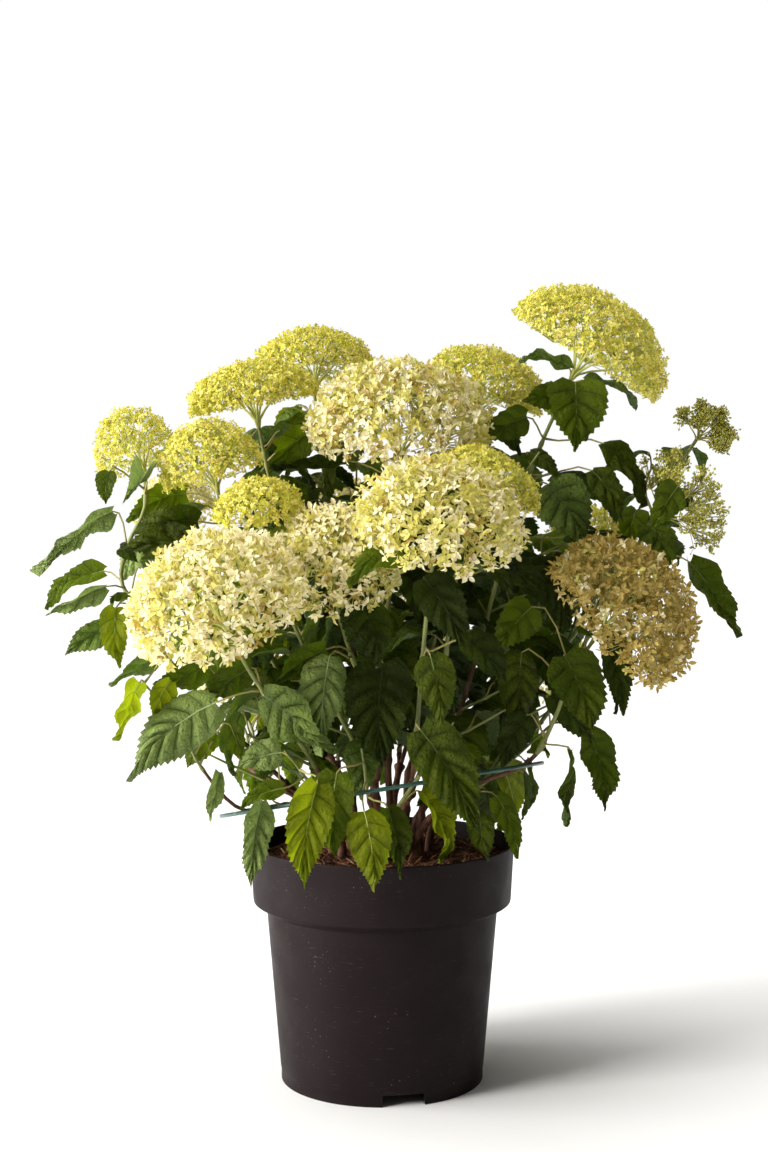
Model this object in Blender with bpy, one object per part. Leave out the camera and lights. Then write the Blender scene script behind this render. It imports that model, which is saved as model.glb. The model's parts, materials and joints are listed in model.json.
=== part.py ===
"""A potted smooth hydrangea: woody canes, leafy shoots that carry the flower heads, a support hoop,
the mulch and the nursery pot.

Metres, +Z up. The origin is on the floor under the middle of the pot, and -Y is the front.
Each cane rises from the mulch to its fork. Each shoot grows on from a fork as one stem with pairs of
opposite leaves, and most shoots end in a domed flower head on a few rays.
"""

import math
import random
from collections import namedtuple

import bmesh
import bpy
from mathutils import Matrix, Vector
from mathutils.bvhtree import BVHTree

UP = Vector((0, 0, 1))
GAP = 0.0003  # between pieces that touch
TURN = math.tau

# ---- Pot and mulch ----
POT_HEIGHT = 0.253
RIM_RADIUS = 0.140
WALL = 0.002
BAND_FOOT = 0.190  # lower edge of the band under the rim
BAND_FOOT_RADIUS = 0.1365
BODY_TOP = 0.184
BODY_TOP_RADIUS = 0.1225
BODY_FOOT_RADIUS = 0.108
SKIRT_HEIGHT = 0.013  # the pot stands on a thin skirt and on a round pad in the middle of its floor
SKIRT_STEP = 0.0007
PAD_RADIUS = 0.045
POT_SEGMENTS = 32
NOTCH_WIDTH = 0.045
NOTCH_COUNT = 3
NOTCH_FIRST = math.radians(-78)
MULCH_EDGE = 0.235
MULCH_TOP = 0.240
MULCH_FLAT_RADIUS = 0.070

# ---- Support hoop ----
HOOP_RADIUS = 0.172
HOOP_WIRE = 0.0021
HOOP_CENTRE = Vector((0.0, 0.0, 0.307))
HOOP_ROLL = math.radians(-9.5)  # its right side is the higher
HOOP_PITCH = math.radians(-9.5)  # its front is the higher
HOOP_SEGMENTS = 36
HOOP_SIDES = 5

# ---- Canes ----
FOOT_REACH = 0.052
FOOT_RADIUS = 0.0042
FORK_RADIUS = 0.0034
FLARE = 1.35  # a cane's foot beside the cane just above it
FLARE_HEIGHT = 0.012
KNUCKLE_RADIUS = 0.0062  # the swelling at a fork, which both of its shoots start from
KNUCKLE_HEIGHT = 0.010
CANE_SIDES = 5
CANE_STEPS = 3

# ---- Shoots ----
SHOOT_RADIUS = 0.0026
HUB_RADIUS = 0.0019  # where the stem meets the rays
SHOOT_SIDES = 4
SHOOT_STEPS = 5
FIRST_PAIR = 0.030
PAIR_SPACING = 0.085
LAST_PAIR = 0.026  # below the hub
TWIG_RADIUS = 0.0019
TWIG_TIP_RADIUS = 0.0015
TWIG_SIDES = 4
TWIG_LENGTH = (0.060, 0.110)
TWIG_FIRST = 0.050
TWIG_SPACING = 0.150
TWIG_TRIES = 10

# ---- Leaves ----
PETIOLE_RADIUS = 0.0010
PETIOLE_LEAN = math.radians(55)  # from the stem
LEAF_LENGTH = 0.120
LEAF_WIDTH = 0.66  # of its length
LEAF_THICKNESS = 0.013  # of its length
LEAF_OUTLINE = ((0.14, 0.80), (0.50, 1.0))  # along the midrib, share of the half width
LEAF_MIDDLE = 0.42
LEAF_TRIES = 16
CLEARANCE = 0.0006
LOWEST_LEAF = 0.205
# How far from the axis seeded leaves may reach at each height.
CROWN_REACH = ((0.20, 0.150), (0.30, 0.165), (0.36, 0.190), (0.45, 0.255), (0.53, 0.325), (0.62, 0.350))
FRONT_REACH = -0.125  # below the flower heads seeded leaves stay behind this
FRONT_TOP = 0.52

# ---- Flower heads ----
HEAD_RINGS = (28, 55, 80, 103)  # degrees from the crown of the dome
HEAD_SEGMENTS = 10
HEAD_MIDDLE = 0.40  # of the dome's height, from the rim's plane to the middle of the bloom
BUMP = 0.06  # how far florets stand out of the core, as a share of its radius
CORE_SHARE = 0.94
HUB_DROP = 0.36  # of the head's radius, below the rim's plane
RAY_COUNT = 3
RAY_RADIUS = 0.0014
RAY_SIDES = 3
BUD_CLUSTERS = 9
BUD_CLUSTER_SHARE = 0.30  # a cluster's radius as a share of the head's

SHOOT_COLOURS = {
    "cream": (0.60, 0.55, 0.28),
    "lime": (0.38, 0.42, 0.10),
    "bud": (0.24, 0.30, 0.09),
    "leafy": (0.09, 0.20, 0.04),
}

Cane = namedtuple("Cane", "name reach bearing height")
Head = namedtuple("Head", "x y z radius dome tilt bearing kind")
Shoot = namedtuple("Shoot", "name cane head phase leaf droop via", defaults=(None,))
SetLeaf = namedtuple("SetLeaf", "shoot base tip width turn bend")

# Forks: how far out and in which direction each one stands (degrees, 0 is +X, 270 the front), and how high.
CANES = (
    Cane("front_left", 0.085, 236, 0.300),
    Cane("front", 0.055, 262, 0.330),
    Cane("front_low", 0.085, 271, 0.285),
    Cane("front_right", 0.075, 293, 0.315),
    Cane("middle", 0.025, 300, 0.385),
    Cane("right_front", 0.085, 318, 0.300),
    Cane("right", 0.070, 350, 0.345),
    Cane("far_right", 0.105, 12, 0.330),
    Cane("back_right", 0.055, 40, 0.355),
    Cane("back_right_low", 0.095, 48, 0.300),
    Cane("back", 0.080, 76, 0.320),
    Cane("back_middle", 0.045, 110, 0.375),
    Cane("back_left_low", 0.095, 122, 0.300),
    Cane("back_left", 0.070, 148, 0.340),
    Cane("left", 0.050, 178, 0.365),
    Cane("far_left", 0.105, 184, 0.315),
    Cane("left_front", 0.090, 210, 0.300),
)

# A head says where the bloom's middle is, its radius, the dome's height as a share of the radius, and its
# lean (degrees from upright, bearing).
SHOOTS = (
    Shoot("cream_front_left", "front_left",
          Head(-0.164, -0.220, 0.541, 0.083, 0.76, 31, 235, "cream"), 20, 1.0, 1.0),
    Shoot("cream_front", "front", Head(-0.050, -0.130, 0.570, 0.064, 1.0, 22, 262, "cream"), 70, 1.0, 1.1),
    Shoot("cream_front_right", "front_right",
          Head(0.057, -0.215, 0.617, 0.079, 0.70, 24, 290, "cream"), 10, 1.0, 1.1),
    Shoot("cream_top", "middle", Head(0.020, -0.030, 0.716, 0.093, 0.72, 12, 275, "cream"), 40, 0.9, 0.9),
    Shoot("lime_middle_right", "front_right",
          Head(0.114, -0.105, 0.642, 0.053, 0.58, 32, 345, "lime"), 60, 0.9, 1.0),
    Shoot("lime_back_top", "back_right",
          Head(0.118, 0.100, 0.749, 0.066, 0.74, 18, 0, "lime"), 15, 0.9, 0.8),
    Shoot("lime_top_right", "right", Head(0.226, -0.020, 0.788, 0.086, 0.72, 32, 350, "lime"), 55, 0.95, 0.8),
    Shoot("bud_top", "far_right",
          Head(0.352, 0.050, 0.694, 0.030, 0.9, 42, 10, "bud"), 35, 0.7, 0.9, (0.262, 0.030, 0.545)),
    Shoot("bud_far_right", "far_right", Head(0.318, -0.012, 0.618, 0.054, 0.8, 50, 0, "bud"), 80, 0.8, 1.0),
    Shoot("cream_right", "right_front",
          Head(0.258, -0.105, 0.520, 0.080, 0.82, 48, 340, "cream"), 25, 1.0, 1.1, "hoop"),
    Shoot("lime_top_left", "back_middle",
          Head(-0.079, 0.140, 0.775, 0.067, 0.70, 8, 120, "lime"), 65, 0.9, 0.8),
    Shoot("lime_upper_left", "left", Head(-0.139, 0.025, 0.735, 0.070, 0.60, 10, 190, "lime"), 5, 0.9, 0.8),
    Shoot("lime_left", "left", Head(-0.179, -0.060, 0.664, 0.053, 1.02, 16, 200, "lime"), 50, 0.95, 0.9),
    Shoot("lime_far_left", "far_left",
          Head(-0.262, -0.025, 0.678, 0.043, 1.25, 28, 160, "lime"), 85, 1.0, 0.6, (-0.270, -0.025, 0.525)),
    Shoot("lime_middle_left", "front",
          Head(-0.124, -0.110, 0.616, 0.044, 0.80, 14, 240, "lime"), 30, 0.9, 0.9),
    Shoot("cream_back_left", "back_left",
          Head(-0.238, 0.150, 0.612, 0.048, 0.85, 34, 145, "cream"), 75, 1.0, 1.0),
    Shoot("lime_back_right", "back_right",
          Head(0.245, 0.150, 0.570, 0.055, 0.80, 35, 40, "lime"), 45, 1.0, 1.0),
    Shoot("cream_back", "back_middle",
          Head(-0.050, 0.265, 0.590, 0.078, 0.85, 30, 100, "cream"), 12, 1.0, 1.0),
    Shoot("lime_back", "back", Head(0.095, 0.255, 0.600, 0.066, 0.80, 30, 70, "lime"), 58, 1.0, 1.0),
    Shoot("cream_low_back_left", "back_left_low",
          Head(-0.180, 0.245, 0.455, 0.072, 0.9, 52, 128, "cream"), 33, 1.0, 1.1, "hoop"),
    Shoot("cream_low_back", "back", Head(0.030, 0.290, 0.440, 0.068, 0.90, 55, 85, "cream"), 80, 1.0, 1.1),
    Shoot("lime_low_back_right", "back_right_low",
          Head(0.195, 0.230, 0.430, 0.060, 0.85, 50, 48, "lime"), 18, 1.0, 1.1, "hoop"),
    Shoot("leafy_left", "left_front",
          Head(-0.235, -0.150, 0.440, 0, 0, 50, 212, "leafy"), 30, 1.0, 1.0, "hoop"),
    Shoot("leafy_low_left", "left_front", Head(-0.185, -0.075, 0.360, 0, 0, 60, 200, "leafy"), 75, 0.9, 1.3),
    Shoot("leafy_front_left", "front_left",
          Head(-0.095, -0.160, 0.372, 0, 0, 55, 240, "leafy"), 10, 1.0, 1.3),
    Shoot("leafy_front", "front_low", Head(-0.020, -0.165, 0.375, 0, 0, 50, 262, "leafy"), 60, 1.0, 1.3),
    Shoot("leafy_front_right", "front_low", Head(0.070, -0.160, 0.400, 0, 0, 50, 295, "leafy"), 20, 1.0, 1.3),
    Shoot("leafy_right", "right_front", Head(0.195, -0.025, 0.395, 0, 0, 50, 352, "leafy"), 50, 1.0, 1.3),
    Shoot("leafy_middle", "middle", Head(0.085, -0.020, 0.560, 0, 0, 25, 350, "leafy"), 0, 1.0, 1.0),
    Shoot("leafy_far_left", "far_left", Head(-0.225, 0.075, 0.430, 0, 0, 50, 165, "leafy"), 25, 1.0, 0.9),
    Shoot("leafy_back_left", "back_left", Head(-0.130, 0.150, 0.480, 0, 0, 40, 130, "leafy"), 65, 1.0, 1.0),
    Shoot("leafy_low_back", "back_left_low",
          Head(-0.060, 0.185, 0.375, 0, 0, 50, 105, "leafy"), 40, 1.0, 1.2),
    Shoot("leafy_back_right", "back_right_low",
          Head(0.215, 0.110, 0.400, 0, 0, 50, 28, "leafy"), 5, 1.0, 1.1),
    Shoot("leafy_upper_right", "right", Head(0.235, 0.060, 0.555, 0, 0, 35, 15, "leafy"), 70, 1.0, 1.0),
)

# The leaves that show most, by the ends of their blades and the angle that they turn from facing the front.
SET_LEAVES = (
    SetLeaf("lime_top_right", (0.199, -0.035, 0.736), (0.199, -0.060, 0.664), 0.066, 0, 30),
    SetLeaf("lime_top_right", (0.180, -0.030, 0.724), (0.146, -0.045, 0.713), 0.034, 15, 25),
    SetLeaf("lime_top_right", (0.194, -0.020, 0.751), (0.142, -0.040, 0.755), 0.026, 70, 70),
    SetLeaf("lime_top_right", (0.211, -0.045, 0.739), (0.269, -0.050, 0.713), 0.030, 62, 40),
    SetLeaf("lime_top_right", (0.231, -0.020, 0.673), (0.277, -0.030, 0.609), 0.042, 40, 30),
    SetLeaf("lime_top_right", (0.216, -0.045, 0.645), (0.246, -0.055, 0.593), 0.036, 15, 30),
    SetLeaf("lime_top_right", (0.171, -0.045, 0.631), (0.207, -0.075, 0.571), 0.062, 5, 25),
    SetLeaf("lime_top_right", (0.149, -0.030, 0.700), (0.105, -0.045, 0.675), 0.036, 20, 25),
    SetLeaf("lime_top_right", (0.152, -0.045, 0.664), (0.184, -0.050, 0.639), 0.026, 40, 25),
    SetLeaf("bud_far_right", (0.300, -0.060, 0.629), (0.275, -0.070, 0.586), 0.040, 10, 25),
    SetLeaf("bud_far_right", (0.324, 0.000, 0.548), (0.370, 0.005, 0.466), 0.040, -50, 30),
    SetLeaf("bud_far_right", (0.243, 0.000, 0.474), (0.251, 0.005, 0.386), 0.036, 5, 25),
    SetLeaf("lime_top_right", (0.192, -0.020, 0.576), (0.273, -0.030, 0.567), 0.026, 62, 25),
    SetLeaf("cream_right", (0.226, -0.085, 0.480), (0.240, -0.095, 0.397), 0.038, 25, 25),
    SetLeaf("cream_right", (0.183, -0.105, 0.460), (0.208, -0.125, 0.383), 0.058, 5, 25),
    SetLeaf("cream_right", (0.193, -0.090, 0.360), (0.190, -0.092, 0.285), 0.034, 70, 25),
    SetLeaf("cream_right", (0.142, -0.080, 0.461), (0.139, -0.085, 0.372), 0.042, 10, 25),
    SetLeaf("cream_right", (0.146, -0.085, 0.398), (0.121, -0.100, 0.346), 0.038, 5, 25),
    SetLeaf("leafy_right", (0.174, -0.060, 0.415), (0.215, -0.065, 0.361), 0.036, 35, 30),
    SetLeaf("leafy_right", (0.212, -0.060, 0.377), (0.232, -0.060, 0.294), 0.040, 20, 25),
    SetLeaf("leafy_right", (0.117, -0.075, 0.313), (0.144, -0.085, 0.251), 0.028, 20, 25),
    SetLeaf("leafy_right", (0.099, -0.085, 0.297), (0.101, -0.100, 0.250), 0.032, 0, 25),
    SetLeaf("cream_right", (0.150, -0.105, 0.509), (0.114, -0.125, 0.464), 0.046, 5, 25),
    SetLeaf("lime_middle_right", (0.119, -0.080, 0.548), (0.166, -0.100, 0.525), 0.042, 20, 25),
    SetLeaf("cream_front_right", (0.079, -0.170, 0.481), (0.125, -0.180, 0.444), 0.040, 30, 25),
    SetLeaf("cream_front_right", (0.046, -0.175, 0.470), (0.056, -0.190, 0.404), 0.040, 5, 25),
    SetLeaf("cream_front_right", (0.040, -0.190, 0.543), (0.076, -0.205, 0.475), 0.048, 10, 25),
    SetLeaf("cream_front_right", (0.037, -0.182, 0.396), (0.095, -0.192, 0.298), 0.062, 10, 20),
    SetLeaf("cream_front", (0.001, -0.140, 0.456), (-0.006, -0.160, 0.351), 0.070, 0, 25),
    SetLeaf("cream_front", (-0.023, -0.165, 0.520), (0.003, -0.185, 0.456), 0.056, 5, 25),
    SetLeaf("cream_front", (-0.051, -0.150, 0.464), (-0.062, -0.170, 0.367), 0.048, 8, 25),
    SetLeaf("cream_front", (-0.055, -0.140, 0.469), (-0.111, -0.150, 0.432), 0.038, 30, 25),
    SetLeaf("cream_front_left", (-0.115, -0.160, 0.426), (-0.053, -0.175, 0.366), 0.060, 0, 25),
    SetLeaf("cream_front_left", (-0.162, -0.165, 0.420), (-0.254, -0.175, 0.348), 0.056, -20, 30),
    SetLeaf("cream_front_left", (-0.128, -0.140, 0.451), (-0.174, -0.150, 0.419), 0.040, 25, 30),
    SetLeaf("leafy_front_left", (-0.062, -0.182, 0.343), (-0.077, -0.196, 0.244), 0.052, 12, 25),
    SetLeaf("leafy_front_left", (-0.099, -0.150, 0.369), (-0.140, -0.160, 0.356), 0.032, 0, 25),
    SetLeaf("leafy_front_left", (-0.097, -0.140, 0.332), (-0.142, -0.150, 0.317), 0.024, -30, 25),
    SetLeaf("leafy_front", (-0.044, -0.172, 0.352), (-0.049, -0.178, 0.270), 0.048, 0, 20),
    SetLeaf("leafy_front", (-0.017, -0.184, 0.317), (-0.007, -0.196, 0.240), 0.044, 8, 25),
    SetLeaf("leafy_front", (0.006, -0.150, 0.314), (0.016, -0.158, 0.244), 0.034, 15, 25),
    SetLeaf("leafy_left", (-0.213, -0.150, 0.468), (-0.261, -0.160, 0.432), 0.036, 40, 25),
    SetLeaf("leafy_left", (-0.234, -0.165, 0.440), (-0.251, -0.165, 0.383), 0.044, 62, 30),
    SetLeaf("leafy_left", (-0.207, -0.150, 0.440), (-0.222, -0.155, 0.404), 0.030, 40, 30),
    SetLeaf("leafy_left", (-0.171, -0.130, 0.450), (-0.220, -0.145, 0.428), 0.038, 20, 25),
    SetLeaf("leafy_left", (-0.171, -0.105, 0.384), (-0.194, -0.110, 0.346), 0.034, 10, 25),
    SetLeaf("leafy_left", (-0.153, -0.100, 0.390), (-0.143, -0.105, 0.352), 0.024, 10, 25),
    SetLeaf("leafy_left", (-0.119, -0.138, 0.318), (-0.130, -0.144, 0.232), 0.036, 35, 15),
    SetLeaf("leafy_left", (-0.163, -0.100, 0.342), (-0.171, -0.105, 0.292), 0.025, 50, 25),
    SetLeaf("lime_far_left", (-0.282, -0.015, 0.602), (-0.357, -0.010, 0.533), 0.046, 45, 45),
    SetLeaf("lime_far_left", (-0.293, -0.005, 0.540), (-0.362, 0.000, 0.502), 0.040, -40, 30),
    SetLeaf("lime_far_left", (-0.281, -0.040, 0.527), (-0.338, -0.045, 0.494), 0.036, 25, 30),
    SetLeaf("lime_far_left", (-0.277, -0.045, 0.487), (-0.328, -0.050, 0.455), 0.038, 20, 25),
    SetLeaf("lime_far_left", (-0.272, -0.065, 0.505), (-0.273, -0.075, 0.443), 0.042, 0, 25),
    SetLeaf("lime_far_left", (-0.277, -0.040, 0.644), (-0.280, -0.045, 0.611), 0.026, 0, 25),
    SetLeaf("lime_far_left", (-0.270, -0.045, 0.565), (-0.251, -0.050, 0.551), 0.026, 10, 25),
    SetLeaf("lime_left", (-0.205, -0.030, 0.621), (-0.264, -0.040, 0.590), 0.040, 40, 50),
    SetLeaf("lime_left", (-0.188, -0.060, 0.593), (-0.252, -0.070, 0.576), 0.044, 20, 45),
    SetLeaf("lime_left", (-0.190, -0.065, 0.565), (-0.265, -0.070, 0.566), 0.044, 25, 45),
    SetLeaf("lime_upper_left", (-0.080, 0.000, 0.683), (-0.114, -0.010, 0.647), 0.038, 5, 25),
    SetLeaf("cream_top", (-0.042, -0.005, 0.655), (-0.108, -0.015, 0.637), 0.030, 60, 30),
)


def on_bearing(degrees, reach, height=0.0):
    """The point that far out in that direction, at that height."""
    angle = math.radians(degrees)
    return Vector((reach * math.cos(angle), reach * math.sin(angle), height))


def leaning(degrees, bearing):
    """A unit vector that leans that far from upright."""
    angle = math.radians(degrees)
    return (UP * math.cos(angle) + on_bearing(bearing, 1) * math.sin(angle)).normalized()


# ---- Curves and meshes ----


def bezier(start, start_way, end, end_way, steps, pull=0.36):
    """Points on a smooth curve that leaves start along start_way and arrives at end along end_way."""
    handle = (end - start).length * pull
    corners = (start, start + start_way * handle, end - end_way * handle, end)
    points = []
    for step in range(steps + 1):
        t = step / steps
        weights = ((1 - t) ** 3, 3 * t * (1 - t) ** 2, 3 * t * t * (1 - t), t**3)
        points.append(sum((c * w for c, w in zip(corners, weights)), Vector()))
    return points


def tangents(points):
    ways = []
    for index in range(len(points)):
        before = points[max(index - 1, 0)]
        after = points[min(index + 1, len(points) - 1)]
        ways.append((after - before).normalized())
    return ways


def across(way):
    """Two unit vectors square to way and to each other."""
    aside = way.cross(UP if abs(way.z) < 0.95 else Vector((0, 1, 0))).normalized()
    return aside, way.cross(aside).normalized()


def carried(points, turn=0.0):
    """At each point the path's direction and two vectors square to it, carried along without twisting."""
    frames = []
    ways = tangents(points)
    aside, other = across(ways[0])
    aside = aside * math.cos(turn) + other * math.sin(turn)
    for way in ways:
        aside = (aside - way * aside.dot(way)).normalized()
        frames.append((way, aside, way.cross(aside)))
    return frames


def tube(points, radii, sides, turn=0.0, flat_start=False):
    """A closed tapering tube as (corners, faces), one of its sides facing turn. A flat start is cut level."""
    corners, faces = [], []
    for index, (point, radius, (way, aside, other)) in enumerate(zip(points, radii, carried(points, turn))):
        if flat_start and index == 0:
            aside = (aside - UP * aside.z).normalized()
            other = UP.cross(aside)
        for side in range(sides):
            angle = TURN * (side + 0.5) / sides
            corners.append(point + (aside * math.cos(angle) + other * math.sin(angle)) * radius)
        if index:
            low, high = (index - 1) * sides, index * sides
            for side in range(sides):
                after = (side + 1) % sides
                faces.append((low + side, low + after, high + after, high + side))
    faces.append(tuple(range(sides))[::-1])
    last = (len(points) - 1) * sides
    faces.append(tuple(range(last, last + sides)))
    return corners, faces


def material(name, colour, roughness, metallic=0.0):
    made = bpy.data.materials.get(name) or bpy.data.materials.new(name)
    made.use_nodes = True
    made.diffuse_color = (*colour, 1)
    shader = made.node_tree.nodes["Principled BSDF"]
    shader.inputs["Base Color"].default_value = (*colour, 1)
    shader.inputs["Roughness"].default_value = roughness
    shader.inputs["Metallic"].default_value = metallic
    return made


def new_object(name, shape, finish):
    """An object in the scene from (corners, faces), with its faces pointing out."""
    mesh = bpy.data.meshes.new(name)
    made = bmesh.new()
    vertices = [made.verts.new(corner) for corner in shape[0]]
    for face in shape[1]:
        made.faces.new([vertices[i] for i in face])
    bmesh.ops.recalc_face_normals(made, faces=made.faces)
    made.to_mesh(mesh)
    made.free()
    mesh.materials.append(finish)
    thing = bpy.data.objects.new(name, mesh)
    bpy.context.scene.collection.objects.link(thing)
    return thing


def turned(profile, segments):
    """A closed solid turned about Z from a closed loop of (radius, height), or one that ends on the axis."""
    corners, faces, rings = [], [], []
    for radius, height in profile:
        if radius == 0:
            rings.append([len(corners)] * segments)
            corners.append(Vector((0, 0, height)))
            continue
        rings.append(range(len(corners), len(corners) + segments))
        for segment in range(segments):
            angle = TURN * segment / segments
            corners.append(Vector((radius * math.cos(angle), radius * math.sin(angle), height)))
    for low, high in zip(rings, rings[1:]):
        for segment in range(segments):
            after = (segment + 1) % segments
            loop = [low[segment], low[after], high[after], high[segment]]
            faces.append(tuple(dict.fromkeys(loop)))
    return corners, faces


def boolean(thing, operation, solver, cutter=None, collection=None):
    """Applies a Boolean with one object or a collection, which is then removed."""
    modifier = thing.modifiers.new("join", "BOOLEAN")
    modifier.operation = operation
    modifier.solver = solver
    if cutter:
        modifier.object = cutter
    else:
        modifier.operand_type = "COLLECTION"
        modifier.collection = collection
    graph = bpy.context.evaluated_depsgraph_get()
    result = bpy.data.meshes.new_from_object(thing.evaluated_get(graph))
    thing.modifiers.clear()
    thing.data = result
    for used in [cutter] if cutter else list(collection.objects):
        bpy.data.objects.remove(used)
    if collection:
        bpy.data.collections.remove(collection)


# ---- Pot, mulch and hoop ----


def pot_profile():
    """From the pad under the floor, down round the skirt, up the outside of the wall and down the inside."""
    floor = SKIRT_HEIGHT + WALL
    foot = BODY_FOOT_RADIUS
    return (
        (0, 0),
        (PAD_RADIUS, 0),
        (PAD_RADIUS + WALL, SKIRT_HEIGHT),
        (foot - SKIRT_STEP - WALL, SKIRT_HEIGHT),
        (foot - SKIRT_STEP - WALL, 0),
        (foot - SKIRT_STEP, 0),
        (foot - SKIRT_STEP, SKIRT_HEIGHT - SKIRT_STEP),
        (foot, SKIRT_HEIGHT),
        (BODY_TOP_RADIUS, BODY_TOP),
        (BAND_FOOT_RADIUS, BAND_FOOT),
        (RIM_RADIUS, POT_HEIGHT),
        (RIM_RADIUS - WALL, POT_HEIGHT),
        (BAND_FOOT_RADIUS - WALL, BAND_FOOT + WALL),
        (BODY_TOP_RADIUS - WALL, BODY_TOP + WALL),
        (foot - WALL, floor),
        (0, floor),
    )


def build_pot():
    plastic = material("pot_plastic", (0.035, 0.032, 0.034), 0.5)
    pot = new_object("pot", turned(pot_profile(), POT_SEGMENTS), plastic)
    reach = 2 * WALL + 2 * SKIRT_STEP
    for index in range(NOTCH_COUNT):
        angle = NOTCH_FIRST + TURN * index / NOTCH_COUNT
        box = bmesh.new()
        bmesh.ops.create_cube(box, size=1)
        mesh = bpy.data.meshes.new("notch")
        box.to_mesh(mesh)
        box.free()
        cutter = bpy.data.objects.new("notch", mesh)
        cutter.hide_render = True
        cutter.display_type = "WIRE"
        size = Matrix.Diagonal((0.02 + reach, NOTCH_WIDTH, 2 * (SKIRT_HEIGHT - SKIRT_STEP), 1))
        middle = Matrix.Translation((BODY_FOOT_RADIUS - reach / 2, 0, 0))
        mesh.transform(Matrix.Rotation(angle, 4, "Z") @ middle @ size)
        bpy.context.scene.collection.objects.link(cutter)
        boolean(pot, "DIFFERENCE", "EXACT", cutter=cutter)
    return pot


def mulch_shape():
    inner_foot = BODY_FOOT_RADIUS - WALL - GAP
    floor = SKIRT_HEIGHT + WALL + GAP
    rise = (MULCH_EDGE - BAND_FOOT - WALL) / (POT_HEIGHT - BAND_FOOT - WALL)
    edge = BAND_FOOT_RADIUS - WALL + (RIM_RADIUS - BAND_FOOT_RADIUS) * rise - 2 * GAP
    profile = (
        (0, floor),
        (inner_foot, floor),
        (BODY_TOP_RADIUS - WALL - 2 * GAP, BODY_TOP + WALL + GAP),
        (BAND_FOOT_RADIUS - WALL - 2 * GAP, BAND_FOOT + WALL + GAP),
        (edge, MULCH_EDGE),
        (MULCH_FLAT_RADIUS, MULCH_TOP),
        (0, MULCH_TOP),
    )
    return turned(profile, POT_SEGMENTS)


def hoop_frame():
    turn = Matrix.Rotation(HOOP_ROLL, 4, "Y") @ Matrix.Rotation(HOOP_PITCH, 4, "X")
    return Matrix.Translation(HOOP_CENTRE) @ turn


def hoop_point(bearing):
    """The middle of the hoop's wire in that direction."""
    return hoop_frame() @ on_bearing(bearing, HOOP_RADIUS)


def hoop_shape():
    frame = hoop_frame()
    corners, faces = [], []
    for segment in range(HOOP_SEGMENTS):
        angle = 360 * segment / HOOP_SEGMENTS
        for side in range(HOOP_SIDES):
            turn = TURN * side / HOOP_SIDES
            out = on_bearing(angle, HOOP_RADIUS + HOOP_WIRE * math.cos(turn), HOOP_WIRE * math.sin(turn))
            corners.append(frame @ out)
            after_side = (side + 1) % HOOP_SIDES
            after = (segment + 1) % HOOP_SEGMENTS
            loop = (segment * HOOP_SIDES, after * HOOP_SIDES)
            faces.append((loop[0] + side, loop[1] + side, loop[1] + after_side, loop[0] + after_side))
    return corners, faces


# ---- Canes ----


def cane_points(cane):
    """From the flat cut on the mulch to the fork."""
    fork = on_bearing(cane.bearing, cane.reach, cane.height)
    foot_reach = min(FOOT_REACH, 0.008 + cane.reach * 0.45)
    foot = on_bearing(cane.bearing, foot_reach, MULCH_TOP + GAP)
    above = foot + UP * FLARE_HEIGHT
    out = leaning(18 + 340 * cane.reach, cane.bearing)
    curve = bezier(above, leaning(6, cane.bearing), fork - out * KNUCKLE_HEIGHT, out, CANE_STEPS)
    return [foot, *curve, fork]


def cane_shape(cane):
    points = cane_points(cane)
    steps = len(points) - 1
    radii = [FOOT_RADIUS + (FORK_RADIUS - FOOT_RADIUS) * i / steps for i in range(steps + 1)]
    radii[0] *= FLARE
    radii[-1] = KNUCKLE_RADIUS
    return tube(points, radii, CANE_SIDES, flat_start=True)


# ---- Shoots ----


def head_axis(head):
    return leaning(head.tilt, head.bearing)


def rim_centre(head):
    """The middle of the dome's rim."""
    return Vector((head.x, head.y, head.z)) - head_axis(head) * head.radius * head.dome * HEAD_MIDDLE


def hub(head):
    """Where the stem ends and the rays spread."""
    return rim_centre(head) - head_axis(head) * head.radius * HUB_DROP


def hoop_rest(start, goal):
    """Where a stem from start to goal lies on the hoop, and its direction there."""
    bearing = math.degrees(math.atan2(goal.y, goal.x))
    wire = hoop_point(bearing)
    tangent = (hoop_point(bearing + 1) - wire).normalized()
    onward = (goal - start).normalized()
    onward = (onward - tangent * onward.dot(tangent)).normalized()
    lift = onward.cross(tangent)
    if lift.z < 0:
        lift = -lift
    return wire + lift * (HOOP_WIRE + SHOOT_RADIUS + GAP), onward


def stem_points(shoot):
    """From just clear of the fork to the hub, by way of the hoop or another point where there is one."""
    cane = next(c for c in CANES if c.name == shoot.cane)
    fork_points = cane_points(cane)
    fork, cane_way = fork_points[-1], (fork_points[-1] - fork_points[-2]).normalized()
    goal = hub(shoot.head)
    way = cane_way
    apart = Vector()
    others = [s for s in SHOOTS if s.cane == shoot.cane and s.name != shoot.name]
    if others:
        apart = goal - hub(others[0].head)
        apart = (apart - way * apart.dot(way)).normalized()
        way = (way + apart * 0.45).normalized()
    # The stem's foot is square to its own way, so it is lifted until its lowest corner clears the cane.
    lift = SHOOT_RADIUS
    for _ in range(4):
        start = fork + cane_way * lift + apart * (SHOOT_RADIUS + GAP)
        arrive = (head_axis(shoot.head) + (goal - start).normalized() * 0.5).normalized()
        if not shoot.via:
            points = bezier(start, way, goal, arrive, SHOOT_STEPS)
        else:
            if shoot.via == "hoop":
                rest, onward = hoop_rest(start, goal)
            else:
                rest = Vector(shoot.via)
                onward = ((rest - start).normalized() + (goal - rest).normalized()).normalized()
            first = bezier(start, way, rest, onward, 2)
            points = first[:-1] + bezier(rest, onward, goal, arrive, SHOOT_STEPS - 2)
        foot = stem_shape(points, shoot.phase)[0][:SHOOT_SIDES]
        lift += GAP - min((corner - fork).dot(cane_way) for corner in foot)
    return points


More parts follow.
